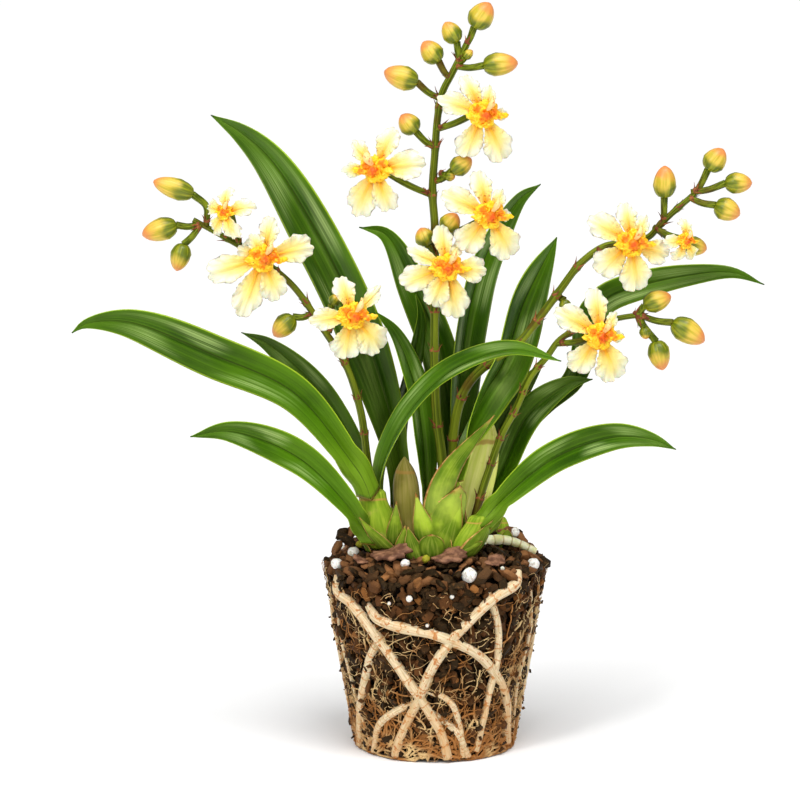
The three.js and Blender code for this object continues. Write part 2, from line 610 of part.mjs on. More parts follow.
// ---------------------------------------------------------------- bark mix
// A tapered ball of rough tiers on a flat base with a low crown, with loose-looking chips, perlite
// and two broad flakes bedded in its top and rim.
const PERLITE = [[13, -33, 82], [-13, -24, 85], [-40, -16, 80], [-33, -6, 84.5], [38, -20, 82],
  [32, 14, 85.5], [-11, -44, 78.5], [-4, 30, 85], [-24, 26, 84]];
const FLAKES = [[-19, -21, 85.5, -18], [6, -29, 85.2, 12]];
const FLAKE_OUTLINE = [[-7, -3], [-2, -4.5], [4, -4], [7, -1], [5, 3], [0, 4.5], [-5, 3]];
const FLAKE_THICK = 2.4;

const crownHeight = (share) => mix(BALL.crown, BALL.height, share ** 2.4);

function ballSkin(random) {
  const rough = () => (random() - 0.5) * 0.9;
  const ring = (radius, z) => Array.from({ length: BALL.sides }, (_, s) => {
    const turn = (s / BALL.sides) * 2 * Math.PI;
    const r = radius + rough();
    return v3(r * Math.sin(turn), -r * Math.cos(turn), z > 0 ? z + 0.5 * rough() : 0);
  });
  const tiers = Array.from({ length: BALL.tiers }, (_, i) => mix(4, BALL.height - 1, i / (BALL.tiers - 1)));
  const wall = [0, ...tiers].map((z) => ring(ballRadius(z) - ROOT.bed, z));
  const crown = [0.8, 0.55, 0.28].map((share) => ring(BALL.shoulder * share, crownHeight(share)));
  return loft([...wall, ...crown], [v3(0, 0, 0), v3(0, 0, BALL.crown)]);
}

// Chips bedded in the sides, in a spiral that leaves room for the roots that run over them.
function sideChips(random) {
  const lines = ROOT_RUNS.flatMap((run) => {
    const path = run.map((place) => onBall(place, -ROOT.sunk));
    return new THREE.CatmullRomCurve3(path, false, 'centripetal').getSpacedPoints(24);
  });
  const chips = [];
  for (let i = 0; i < CHIP.side; i++) {
    const z = mix(8, BALL.height - 2, (i + 0.5) / CHIP.side);
    const centre = onBall([(i * GOLDEN_ANGLE) % 360, z], -2.6);
    const out = v3(centre.x, centre.y, -0.18 * centre.length()).normalize();
    const free = lines.every((p) => p.distanceTo(centre) > CHIP.clear);
    if (free) chips.push(chip(random, centre.toArray(), out));
  }
  return chips;
}

// Chips lying on the crown, in a spiral from its middle to its rim.
function topChips(random) {
  return Array.from({ length: CHIP.top }, (_, i) => {
    const turn = i * degrees(GOLDEN_ANGLE);
    const r = (BALL.shoulder - 4) * mix(0.35, 1, Math.sqrt((i + 0.5) / CHIP.top));
    const out = v3(Math.sin(turn) * 0.4, -Math.cos(turn) * 0.4, 1).normalize();
    return chip(random, [r * Math.sin(turn), -r * Math.cos(turn), crownHeight(r / BALL.shoulder) + 0.3], out);
  });
}

// A chip of bark: a block with each corner drawn in by its own amount.
function chip(random, centre, out) {
  const size = [CHIP.long, CHIP.wide, CHIP.thick].map(([low, high]) => mix(low, high, random()));
  const box = new THREE.BoxGeometry(...size);
  const points = box.attributes.position;
  const corners = new Map();
  for (let i = 0; i < points.count; i++) {
    const at = [points.getX(i), points.getY(i), points.getZ(i)];
    const key = at.map(Math.sign).join();
    if (!corners.has(key)) corners.set(key, at.map(() => 1 - 0.35 * random()));
    points.setXYZ(i, ...at.map((n, axis) => n * corners.get(key)[axis]));
  }
  box.rotateZ(random() * Math.PI).rotateX((random() - 0.5) * 0.9);
  box.applyQuaternion(new THREE.Quaternion().setFromUnitVectors(v3(0, 0, 1), out));
  return solidOf(box.translate(...centre));
}

function barkMix() {
  const random = seeded(41);
  const parts = [ballSkin(random), ...sideChips(random), ...topChips(random)];
  PERLITE.forEach((centre, i) => {
    const grain = new THREE.IcosahedronGeometry(PERLITE_RADIUS * (0.8 + 0.3 * random()), 0);
    parts.push(solidOf(grain.rotateX(i).rotateY(2 * i).translate(...centre)));
  });
  FLAKES.forEach(([x, y, z, turn]) => {
    const outline = new THREE.Shape(FLAKE_OUTLINE.map(([u, w]) => new THREE.Vector2(u, w)));
    const flake = new THREE.ExtrudeGeometry(outline, { depth: FLAKE_THICK, bevelEnabled: false });
    flake.rotateZ(degrees(turn)).rotateX(degrees(16)).translate(x, y, z - FLAKE_THICK / 2);
    parts.push(solidOf(flake));
  });
  return fuse(parts);
}

// ---------------------------------------------------------------- colours
const finish = (color, roughness) => new THREE.MeshStandardMaterial({ color, roughness, metalness: 0 });
const COLOURS = {
  leaf: [0x3d6b16, 0.4],
  spike: [0x66791d, 0.55],
  bloom: [0xf9eeca, 0.6],
  crest: [0xf58a18, 0.5],
  bulb: [0x8fb23a, 0.45],
  bulb_brown: [0x9a8f52, 0.55],
  roots: [0xe0cda6, 0.75],
  surface_root: [0xdfe0bd, 0.6],
  bark_mix: [0x4a2f1e, 0.95],
};

// ---------------------------------------------------------------- assembly
// Pieces are made in the order below. Each is cut clear of the ones made before it, by their own
// shapes grown by the gap, so that it rests round them without touching.
const each = (set, kind, make) => (
  Object.entries(set).map(([name, spec]) => [name, kind, (grow) => make(spec, grow)]));
const bloomNames = Object.keys(BLOOMS);
const RECIPES = [
  ...each(SPIKES, 'spike', spike),
  ...each(LEAVES, 'leaf', leaf),
  ...bloomNames.map((name) => [name.replace('bloom', 'crest'), 'crest', (grow) => crest(name, grow)]),
  ...bloomNames.map((name) => [name, 'bloom', (grow) => bloom(name, grow)]),
  ...each(BULBS, 'bulb', bulb),
  ['surface_root', 'surface_root', surfaceRoot],
  ['roots', 'roots', roots],
  ['bark_mix', 'bark_mix', barkMix],
];

const orchid = new THREE.Group();
const placed = [];
const meets = (a, b) => (
  [0, 1, 2].every((axis) => a.min[axis] <= b.max[axis] && b.min[axis] <= a.max[axis]));

for (const [name, kind, make] of RECIPES) {
  const whole = make(0);
  const bounds = whole.boundingBox();
  const near = placed.filter((other) => meets(other.bounds, bounds));
  const solid = mainBody(near.reduce((rest, other) => rest.subtract(other.grown), whole));
  if (name !== 'bark_mix') {
    const grown = make(GAP);
    placed.push({ grown, bounds: grown.boundingBox() });
  }
  const piece = new THREE.Mesh(geometryOf(solid), finish(...COLOURS[name] ?? COLOURS[kind]));
  piece.name = name;
  orchid.add(piece);
}

export default orchid;
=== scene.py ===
"""Dresses the solid model of an oncidium orchid: leaves, bulbs, spikes, flowers, roots and bark.

The plant faces -Y and stands on its root ball. Listed places are in millimetres in the row's
frame, and every mesh is in metres.
"""

import bisect
import random
from math import atan2, copysign, cos, degrees, exp, pi, radians, sin, sqrt

import bpy
from mathutils import Matrix, Vector, noise


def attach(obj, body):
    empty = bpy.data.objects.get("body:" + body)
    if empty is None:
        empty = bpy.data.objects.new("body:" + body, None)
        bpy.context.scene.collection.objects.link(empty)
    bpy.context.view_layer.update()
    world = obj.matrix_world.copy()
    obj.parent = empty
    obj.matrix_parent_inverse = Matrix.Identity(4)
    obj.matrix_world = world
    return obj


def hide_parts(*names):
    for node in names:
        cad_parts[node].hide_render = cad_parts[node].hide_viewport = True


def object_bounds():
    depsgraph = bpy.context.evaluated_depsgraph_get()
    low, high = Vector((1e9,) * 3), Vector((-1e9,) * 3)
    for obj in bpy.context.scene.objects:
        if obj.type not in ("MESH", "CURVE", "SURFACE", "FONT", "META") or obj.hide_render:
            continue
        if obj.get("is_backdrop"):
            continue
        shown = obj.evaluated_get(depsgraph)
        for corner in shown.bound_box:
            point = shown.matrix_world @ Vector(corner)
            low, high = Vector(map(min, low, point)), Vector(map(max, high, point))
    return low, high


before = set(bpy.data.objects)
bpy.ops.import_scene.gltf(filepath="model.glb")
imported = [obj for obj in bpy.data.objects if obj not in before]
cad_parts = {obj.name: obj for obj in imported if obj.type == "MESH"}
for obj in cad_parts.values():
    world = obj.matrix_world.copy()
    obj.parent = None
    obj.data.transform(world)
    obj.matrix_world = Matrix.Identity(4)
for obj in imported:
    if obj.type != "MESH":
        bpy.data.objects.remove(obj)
CAD_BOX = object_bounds()
bpy.ops.object.select_all(action="DESELECT")

# ---------------------------------------- camera
# The camera stands 1.6 m in front of the plant, a little above it, and looks ten degrees down.
LOOK_AT = Vector((-0.0155, 0, 0.1505))
LOOK_DOWN = radians(10)
DISTANCE = 1.62
SENSOR_WIDTH = 36
LENS = 173.57
bpy.ops.object.camera_add(
    location=LOOK_AT + DISTANCE * Vector((0, -cos(LOOK_DOWN), sin(LOOK_DOWN))),
    rotation=(pi / 2 - LOOK_DOWN, 0, 0),
)
camera = bpy.context.object
camera.data.sensor_width = SENSOR_WIDTH
camera.data.lens = LENS
bpy.context.scene.camera = camera


# ---------------------------------------- studio
# A white table that runs on behind the plant, a pale room all round, daylight through two wide
# windows above on the left and on the right, and soft lamps that give the leaves their gloss.
class Value:
    """A value in a material's nodes. Arithmetic on it adds Math nodes."""

    def __init__(self, paint, socket):
        self.paint = paint
        self.socket = socket

    def math(self, operation, *values):
        return self.paint.node("Math", {"operation": operation}, dict(enumerate(values)))

    def __add__(self, other):
        return self.math("ADD", self, other)

    def __sub__(self, other):
        return self.math("SUBTRACT", self, other)

    def __rsub__(self, other):
        return self.math("SUBTRACT", other, self)

    def __mul__(self, other):
        return self.math("MULTIPLY", self, other)

    def __abs__(self):
        return self.math("ABSOLUTE", self)

    __radd__ = __add__
    __rmul__ = __mul__

    def fraction(self):
        return self.math("FRACT", self)

    def sine(self):
        return self.math("SINE", self)

    def between(self, low, high):
        """0 below `low`, 1 above `high`, and smooth from one to the other."""
        inputs = {"Value": self, "From Min": low, "From Max": high}
        return self.paint.node("MapRange", {"interpolation_type": "SMOOTHSTEP"}, inputs)


class Paint:
    """A material, written as sums on the values of its nodes."""

    # The sockets of a Mix node that mixes colours.
    SHARE, UNDER, OVER, MIXED = 0, 6, 7, 2

    def __init__(self, name, **uniform):
        self.material = bpy.data.materials.new(name)
        self.material.use_nodes = True
        self.nodes = self.material.node_tree.nodes
        self.surface = self.nodes["Principled BSDF"]
        for socket, value in uniform.items():
            self.surface.inputs[socket.replace("_", " ")].default_value = value

    def node(self, kind, settings, inputs, output=0):
        """Adds a node, sets it up, fills its sockets with values or links and gives its output."""
        made = self.nodes.new("ShaderNode" + kind)
        for setting, value in settings.items():
            setattr(made, setting, value)
        for socket, value in inputs.items():
            self.fill(made.inputs[socket], value)
        return Value(self, made.outputs[output])

    def fill(self, socket, value):
        if isinstance(value, Value):
            self.material.node_tree.links.new(value.socket, socket)
        else:
            socket.default_value = value

    def separate(self, coordinates, count):
        place = self.node("TexCoord", {}, {}, coordinates)
        return [self.node("SeparateXYZ", {}, {0: place}, axis) for axis in range(count)]

    def axes(self):
        """The place in the row's frame, axis by axis."""
        return self.separate("Object", 3)

    def lengthwise(self):
        """The piece's own map: round it, and along it."""
        return self.separate("UV", 2)

    def blade_map(self):
        """A blade's own map: along it, and from 0 down its middle to 1 at its edges."""
        round_blade, along = self.lengthwise()
        return along, abs(abs(round_blade * 4 - 2) - 1)

    def mark(self, name):
        return self.node("Attribute", {"attribute_name": name}, {}, "Fac")

    def noise(self, scale, detail, stretch=None, on="Object"):
        """Cloudy noise, drawn out along an axis where `stretch` says so."""
        where = self.node("TexCoord", {}, {}, on)
        if stretch:
            where = self.node("Mapping", {}, {"Vector": where, "Scale": stretch})
        return self.node("TexNoise", {}, {"Vector": where, "Scale": scale, "Detail": detail})

    def streaks(self, across, along, detail):
        """Noise on the piece's own map, so fine across the piece and so fine along it."""
        return self.noise(1, detail, (across, along, 1), "UV")

    def coats(self, colour, *coats):
        """A colour under coats, each with a mask and the colour that it brings."""
        for share, coat in coats:
            inputs = {self.SHARE: share, self.UNDER: colour, self.OVER: coat}
            colour = self.node("Mix", {"data_type": "RGBA"}, inputs, self.MIXED)
        return colour

    def bump(self, height, strength, depth):
        return self.node("Bump", {}, {"Strength": strength, "Distance": depth, "Height": height})

    def finish(self, **surface):
        for socket, value in surface.items():
            self.fill(self.surface.inputs[socket.replace("_", " ")], value)
        return self


def rgb(red, green, blue):
    """A colour of 0..255 a channel, as the shader's linear values."""
    channels = [channel / 255 for channel in (red, green, blue)]
    return (*[c / 12.92 if c < 0.04045 else ((c + 0.055) / 1.055) ** 2.4 for c in channels], 1)


TABLE = 40
table_paint = Paint("white_table", Roughness=0.9, Specular_IOR_Level=0.1)
table_paint.finish(Base_Color=rgb(246, 246, 246))
bpy.ops.mesh.primitive_plane_add(size=TABLE)
table = bpy.context.object
table.name = "table"
table.data.materials.append(table_paint.material)
table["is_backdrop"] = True


def window(name, azimuth, height, strength, spread):
    """Daylight from one side: it falls evenly on the plant and on the whole table."""
    turned = (radians(90 - height), 0, radians(azimuth))
    bpy.ops.object.light_add(type="SUN", rotation=turned)
    light = bpy.context.object
    light.name = name
    light.data.energy = strength
    light.data.angle = radians(spread)


def lamp(name, place, size, power):
    """A square soft lamp that faces the middle of the plant."""
    facing = (LOOK_AT - Vector(place)).to_track_quat("-Z", "Y").to_euler()
    bpy.ops.object.light_add(type="AREA", location=place, rotation=facing)
    light = bpy.context.object
    light.name = name
    light.data.size = size
    light.data.energy = power


window("window_left", azimuth=-30, height=68, strength=1.2, spread=44)
window("window_right", azimuth=38, height=67, strength=1.66, spread=30)
lamp("lamp_left", (-0.8, -1.2, 1.1), size=0.3, power=10)
lamp("lamp_front", (0.4, -1.7, 0.75), size=0.4, power=5)

world = bpy.data.worlds.new("pale_room")
world.use_nodes = True
room = world.node_tree.nodes["Background"].inputs
room["Color"].default_value = rgb(255, 255, 255)
room["Strength"].default_value = 0.28
bpy.context.scene.world = world
bpy.context.scene.view_settings.view_transform = "Standard"

# ---------------------------------------- leaves
# Strap leaves, folded along the midrib where they leave the bulb and flatter towards the tip. They
# are glossy, with fine veins that run all along, a groove for a midrib and a pale thin margin.
MM = 0.001
UP = Vector((0, 0, 1))
MERGED = 1e-7


def mixed(low, high, share):
    return low + (high - low) * share


class Route:
    """A smooth line through points in millimetres, walked by its length from 0 to 1."""

    STEPS = 16

    def __init__(self, points):
        knots = [Vector(point) * MM for point in points]
        knots = [2 * knots[0] - knots[1], *knots, 2 * knots[-1] - knots[-2]]
        self.spots = []
        for four in zip(knots, knots[1:], knots[2:], knots[3:]):
            self.spots.extend(self.stretch(*four))
        self.spots.append(knots[-2])
        self.walked = [0.0]
        for here, there in zip(self.spots, self.spots[1:]):
            self.walked.append(self.walked[-1] + (there - here).length)

    def stretch(self, before, start, end, after):
        """The spots from one point up to the next, on a centripetal spline."""
        gaps = [sqrt((b - a).length) for a, b in ((before, start), (start, end), (end, after))]
        chord = end - start
        leave = chord + ((start - before) / gaps[0] - (end - before) / (gaps[0] + gaps[1])) * gaps[1]
        arrive = chord + ((after - end) / gaps[2] - (after - start) / (gaps[1] + gaps[2])) * gaps[1]
        for step in range(self.STEPS):
            t = step / self.STEPS
            ease = t * t * (3 - 2 * t)
            yield start.lerp(end, ease) + leave * t * (1 - t) ** 2 - arrive * t * t * (1 - t)

    def at(self, share):
        reach = min(max(share, 0.0), 1.0) * self.walked[-1]
        index = min(max(bisect.bisect_right(self.walked, reach), 1), len(self.spots) - 1)
        low, high = self.walked[index - 1], self.walked[index]
        return self.spots[index - 1].lerp(self.spots[index], (reach - low) / (high - low))

    def along(self, share):
        return (self.at(share + 0.01) - self.at(share - 0.01)).normalized()

    def frames(self, rows):
        """Even places along the line, each with its share, its middle and two sides."""
        side = self.along(0).orthogonal().normalized()
        for row in range(rows + 1):
            along = self.along(row / rows)
            side = (side - along * side.dot(along)).normalized()
            yield row / rows, self.at(row / rows), side, along.cross(side)


def turns_of(sides):
    """So many turns, evenly all the way round."""
    return [2 * pi * side / sides for side in range(sides)]


def hands_of(columns):
    """Even places across a blade, from -1 at one edge to 1 at the other."""
    return [2 * column / columns - 1 for column in range(columns + 1)]


def picked(*pieces):
    """Selects these pieces alone and makes the first one active."""
    bpy.ops.object.select_all(action="DESELECT")
    for piece in pieces:
        piece.select_set(True)
    bpy.context.view_layer.objects.active = pieces[0]


def closed_up(piece):
    """Merges a piece's doubled points, turns its faces outwards and shades it smooth."""
    picked(piece)
    bpy.ops.object.mode_set(mode="EDIT")
    bpy.ops.mesh.select_all(action="SELECT")
    bpy.ops.mesh.remove_doubles(threshold=MERGED)
    bpy.ops.mesh.normals_make_consistent(inside=False)
    bpy.ops.object.mode_set(mode="OBJECT")
    bpy.ops.object.shade_smooth()
    return piece


def skin(name, rings):
    """A closed skin: a grid laid over rings of equal length, with its long edges joined."""
    bpy.ops.mesh.primitive_grid_add(x_subdivisions=len(rings[0]), y_subdivisions=len(rings) - 1)
    piece = bpy.context.object
    piece.name = name
    spots = [spot for ring in rings for spot in (*ring, ring[0])]
    piece.data.vertices.foreach_set("co", [number for spot in spots for number in spot])
    return closed_up(piece)


def blade(name, section, rows):
    """A thin blade. `section` gives a row's middles from edge to edge, each with its half depth."""
    rings = []
    for row in range(rows + 1):
        cut = list(section(row / rows))
        closed = 0 if row in (0, rows) else 1
        upper = [middle + half * closed for middle, half in cut]
        lower = [middle - half * closed for middle, half in cut[1:-1]]
        rings.append([*upper, *reversed(lower)])
    return skin(name, rings)


def dress(piece, paint, slot, *nodes):
    """Paints a piece, fixes it to the plant and hides the solids that it stands for."""
    piece.data.materials.clear()
    piece.data.materials.append(paint.material)
    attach(piece, "root")
    if nodes:
        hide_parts(*nodes)
    return piece


# Each leaf's path from sheath to tip and its width. `foot` is its width at the base as a share of
# the whole, `full` the share of its length where it is widest, `narrows` where it starts to taper
# and how bluntly, `turn` how far the upper face is rolled to the front at the base and at the tip,
# and `fold` how far each half rises from flat at the base, just above it and at the tip. A fold
# below zero clasps the bulb.
LEAVES = {
    "leaf_tall_left": {
        "path": [(-14, 13, 97), (-14.5, 13, 114), (-19, 15, 138), (-31, 20, 176), (-49.2, 26, 214),
                 (-69.2, 32, 245.2), (-82.2, 37, 256.8), (-96, 42, 264)],
        "width": 24.5, "foot": 0.5, "turn": (86, 104), "fold": (38, 38, 14), "narrows": (0.6, 2.3),
    },
    "leaf_long_left": {
        "path": [(-27.3, -18.2, 108.5), (-30, -17.6, 116), (-37.8, -15, 127.8), (-59.6, -17, 154.6),
                 (-93, -23, 171.6), (-128, -29, 186.3), (-144.6, -33, 185.8), (-150, -34, 182)],
        "width": 20, "foot": 0.6, "full": 0.6, "turn": (88, 102), "fold": (-28, 34, 16),
        "narrows": (0.55, 2.5),
    },
    "leaf_inner_left": {
        "path": [(-22, 9, 96), (-29, 9, 112), (-35.5, 11, 126.5), (-50, 16, 150), (-71, 21, 168.5),
                 (-83, 24, 173)],
        "width": 14, "foot": 0.5, "turn": (80, 92), "fold": (38, 38, 18),
    },
    "leaf_low_left": {
        "path": [(-26, -20, 90), (-32, -20, 99), (-38.6, -20.5, 108.8), (-58, -26, 128.9),
                 (-86, -38, 142.1), (-101.4, -44, 140.7)],
        "width": 15.5, "foot": 0.6, "full": 0.6, "turn": (84, 92), "fold": (-30, 34, 18),
    },
    "leaf_back_centre": {
        "path": [(6, 18.6, 97), (6, 20.4, 114), (7, 24, 132.7), (2, 27, 165), (-9.5, 32, 192),
                 (-21.3, 38, 213.1), (-33, 40, 216)],
        "width": 18, "foot": 0.5, "turn": (84, 80), "fold": (34, 34, 14),
    },
    "leaf_back_right": {
        "path": [(7, 12, 97), (7, 13, 114), (8.5, 16, 143), (12.4, 25, 176), (19.8, 35, 202),
                 (34.5, 46, 226.5), (45, 52, 233)],
        "width": 20, "foot": 0.5, "turn": (84, 90), "fold": (40, 40, 14), "narrows": (0.56, 2.3),
    },
    "leaf_front_right": {
        "path": [(3.4, -14, 114.8), (5.9, -12.5, 123.1), (9.3, -11, 132.6), (14.3, -8, 142.7),
                 (20.6, -3, 153.4), (27.8, 5, 163.5), (36.8, 18, 187.2), (51, 31, 213)],
        "width": 23.5, "foot": 0.7, "turn": (80, 84), "fold": (66, 80, 10), "narrows": (0.56, 2.3),
    },
    "leaf_long_right": {
        "path": [(18, 18, 92), (20, 18, 107), (26, 18, 122), (37.4, 18, 132.2), (47.9, 19, 143.1),
                 (58.8, 20, 153.2), (63.5, 21, 165.8), (65.1, 22, 178.4), (71.9, 22, 187.3),
                 (85.3, 22, 192.9), (106.3, 21, 197.8), (125.2, 20, 199.2), (138.6, 19, 194.3)],
        "width": 15.5, "foot": 0.4, "full": 0.75, "turn": (66, 76), "fold": (58, 58, 14),
    },
    "leaf_inner_right": {
        "path": [(22, 8, 92), (22, 6, 104), (28, 6, 117), (39, 8, 140), (56, 11, 153), (66, 12, 155)],
        "width": 15, "foot": 0.5, "turn": (66, 60), "fold": (46, 46, 14),
    },
    "leaf_low_right": {
        "path": [(16.5, -26, 98.5), (20, -25, 102.5), (27, -22.5, 109.4), (48, -24, 127.4),
                 (73, -34, 138.5), (88, -41, 138.7), (97.6, -44, 135.4)],
        "width": 14.8, "foot": 0.66, "turn": (82, 68), "fold": (-20, 40, 16),
    },
    "leaf_arching": {
        "path": [(-21.6, -1, 97), (-23, -2, 110), (-20.6, -10, 126), (-10, -20, 148), (7, -30, 166),
                 (30, -41, 176), (50, -52, 173.5)],
        "width": 14, "foot": 0.6, "turn": (76, 38), "fold": (44, 44, 16),
    },
    "leaf_middle": {
        "path": [(-4.5, 4, 96), (-5, 4, 112), (-6, 3, 129), (-10, 0, 156), (-18, -4, 177),
                 (-26, -6, 187)],
        "width": 13, "foot": 0.6, "turn": (84, 70), "fold": (40, 40, 14),
    },
    "leaf_slim_back": {
        "path": [(-12, 20, 96.5), (-15, 20.5, 113.4), (-17.4, 22, 131.3), (-12, 24, 154.3),
                 (-7, 25, 179.3), (-9, 25, 189.3)],
        "width": 11, "foot": 0.5, "turn": (84, 70), "fold": (34, 34, 12),
    },
    "leaf_slim_right": {
        "path": [(14, 8, 96), (18, 10, 111.5), (25, 12.5, 129.4), (34, 16, 146.3), (46, 19, 162.3)],
        "width": 11, "foot": 0.5, "turn": (80, 66), "fold": (40, 40, 14),
    },
}
LEAF_ROWS = 72
LEAF_COLUMNS = 18
# Depth at the base and at the tip, how far the halves bulge and their margins wave, and how far
# the corners of the foot reach up from it.
LEAF_DEPTH = (0.95, 0.5)
LEAF_BULGE = 0.09
LEAF_WAVE = 0.35
LEAF_TOE = 3.5
# Shares of the length: where the clasp starts to give way to the fold, where the fold starts to
# open and where the corners of the foot end.
CLASP_END = 0.03
FOLD_START = 0.15
TOE_END = 0.3


def eased(share):
    """Smooth from 0 to 1, and level outside."""
    share = min(max(share, 0), 1)
    return share * share * (3 - 2 * share)


def leaf(name, path, width, foot, turn, fold, full=0.42, narrows=(0.5, 2.3)):
    """A strap leaf, rolled, folded and tapered along its path."""
    route = Route(path)
    ahead = route.spots[-1] - route.spots[0]
    level = Vector((ahead.x, ahead.y, 0)).normalized().cross(UP)
    toe = LEAF_TOE * MM / route.walked[-1]
    clasp, above, tip = fold
    start, bluntness = narrows

    def section(share):
        along = route.along(share)
        sky = level.cross(along).normalized()
        side = along.cross(sky)
        front = side * (-1 if side.y > 0 else 1)
        roll = radians(mixed(*turn, share))
        face = sky * cos(roll) + front * sin(roll)
        across = along.cross(face).normalized()
        opened = mixed(above, tip, max((share - FOLD_START) / (1 - FOLD_START), 0) ** 0.45)
        unclasped = eased((share - CLASP_END) / (FOLD_START - CLASP_END))
        rise = radians(mixed(clasp, opened, unclasped))
        point = 1 - (max(share - start, 0) / (1 - start)) ** bluntness
        half_width = max(width * mixed(foot, 1, eased(share / full)) * point, 0.5) / 2 * MM
        depth = mixed(*LEAF_DEPTH, share) / 2 * MM
        for hand in hands_of(LEAF_COLUMNS):
            wide = abs(hand)
            lift = wide * sin(rise) + LEAF_BULGE * sin(pi * wide)
            wave = LEAF_WAVE * MM * sin(share * 19 + 3 * hand + width) * wide**3 * share
            at = share + toe * wide * max(1 - share / TOE_END, 0)
            middle = route.at(at) + across * hand * half_width * cos(rise)
            middle += face * (lift * half_width + wave)
            out = (face * cos(rise) - across * copysign(sin(rise), hand)).normalized()
            yield middle, out * depth * (1 - 0.45 * wide)

    return blade(name + "_blade", section, LEAF_ROWS)


leaf_paint = Paint("leaf_green", Specular_IOR_Level=0.42, Specular_Tint=rgb(228, 255, 132))
up_leaf, leaf_edge = leaf_paint.blade_map()
round_leaf, _ = leaf_paint.lengthwise()
_, leaf_back, leaf_height = leaf_paint.axes()
underside = round_leaf.between(0.495, 0.505)
veins = leaf_paint.streaks(84, 1.2, 3)
broad_veins = leaf_paint.streaks(26, 0.8, 1)
clouds = leaf_paint.noise(24, 3)
# Painted highlight: a pale streaky sheen painted into the middle of each leaf's length.
painted_sheen = leaf_paint.streaks(2.6, 3.4, 1).between(0.42, 0.6)
painted_sheen = painted_sheen * up_leaf.between(0.3, 0.5) * (1 - up_leaf.between(0.7, 0.92))
painted_sheen = painted_sheen * leaf_edge.between(0.06, 0.16) * (1 - leaf_edge.between(0.6, 0.85))
young = 1 - up_leaf.between(0.0, 0.3)
midrib = (1 - leaf_edge.between(0.015, 0.05)) * (1 - underside)
side_vein = 1 - abs(leaf_edge - 0.52).between(0.008, 0.03)
keel = (1 - leaf_edge.between(0.03, 0.09)) * underside
# Painted shade: the leaves turn darker low down, by the bulbs.
low_leaf_shade = 1 - leaf_height.between(0.094, 0.114)
shaded = leaf_back.between(-0.005, 0.02) * (1 - leaf_height.between(0.14, 0.21))
scar = 1 - (up_leaf + clouds * 0.008).between(0.007, 0.012)
leaf_green = leaf_paint.coats(
    rgb(28, 64, 2),
    (clouds.between(0.35, 0.68), rgb(68, 110, 8)),
    (broad_veins.between(0.42, 0.66) * 0.3, rgb(86, 132, 16)),
    (painted_sheen * veins.between(0.36, 0.6) * 0.9, rgb(158, 184, 108)),
    (underside * 0.4, rgb(112, 142, 60)),
    (young * 0.55, rgb(118, 148, 30)),
    (midrib * 0.8, rgb(14, 36, 1)),
    (side_vein * 0.35, rgb(22, 50, 2)),
    (keel * 0.6, rgb(150, 182, 70)),
    (leaf_edge.between(0.91, 0.97) * 0.85, rgb(168, 196, 50)),
    (low_leaf_shade * 0.45, rgb(52, 84, 8)),
    (shaded * 0.78, rgb(12, 32, 2)),
    (scar * 0.75, rgb(186, 150, 76)),
)
leaf_paint.finish(
    Base_Color=leaf_green,
    Roughness=0.27 + veins * 0.14,
    Normal=leaf_paint.bump(veins * 0.45 + broad_veins, strength=0.4, depth=0.0006),
)
for leaf_name, form in LEAVES.items():
    dress(leaf(leaf_name, **form), leaf_paint, "leaf", leaf_name)

# ---------------------------------------- pseudobulbs
# Swollen green stems that stand on the bark, each wrapped in sheaths that dry to tan paper at
# their edges. They are twelve-sided rings smoothed by subdivision, and the sheaths, the bracts and
# the leaf-like wrap of the front bulb are thin blades.

# Each bulb's foot and top, its width and depth at its widest, its neck as a share of that, and
# above 1, if it has one, a lean that moves its widest place up.
BULBS = {
    "bulb_left": ((-23.3, -14, 87.5), (-27.5, -12, 112.3), 17.4, 11, 0.72),
    "bulb_brown": ((-11.6, -3, 84), (-13.6, 3, 123.4), 12, 9.5, 0.04, 1.7),
    "bulb_front": ((0.8, -21, 83), (4.2, -18, 117.2), 15.2, 12, 0.8, 2.6),
    "bulb_tall": ((9.6, -4, 84), (22.4, 2, 138.9), 17, 12, 0.15, 1.5),
    "bulb_right": ((9.5, -24, 86), (18, -23, 103.5), 13.4, 9, 0.72),
    "bulb_small": ((28, 0, 84), (28, 0, 98), 7, 6.5, 0.3),
    "bulb_back_left": ((-15, 16, 82), (-15, 15, 104), 13, 10, 0.3),
    "bulb_back_right": ((8, 16, 82), (8, 15, 104), 13, 10, 0.3),
}
# Sheaths: how high up the bulb each starts and ends, its bearing from the front, its half angle
# round the bulb and how long it keeps that on its way up.
SHEATHS = {
    "bulb_left": [(-0.05, 0.5, -80, 44, 1.7)],
    "bulb_brown": [(-0.02, 0.5, 60, 60, 1.3), (0, 0.36, -50, 50, 1.3)],
    "bulb_front": [(0, 0.97, 42, 112, 4)],
    "bulb_tall": [(0, 0.46, 62, 60, 1.3), (0.05, 0.56, -46, 60, 1.5)],
    "bulb_right": [(-0.05, 0.92, 62, 84, 3), (-0.1, 0.5, -70, 50, 1.5)],
    "bulb_small": [(0, 0.7, 20, 70, 1.7)],
    "bulb_back_left": [(0, 0.6, 170, 70, 1.7), (0, 0.5, -80, 60, 1.7)],
    "bulb_back_right": [(0, 0.6, 190, 70, 1.7), (0, 0.5, 80, 60, 1.7)],
}
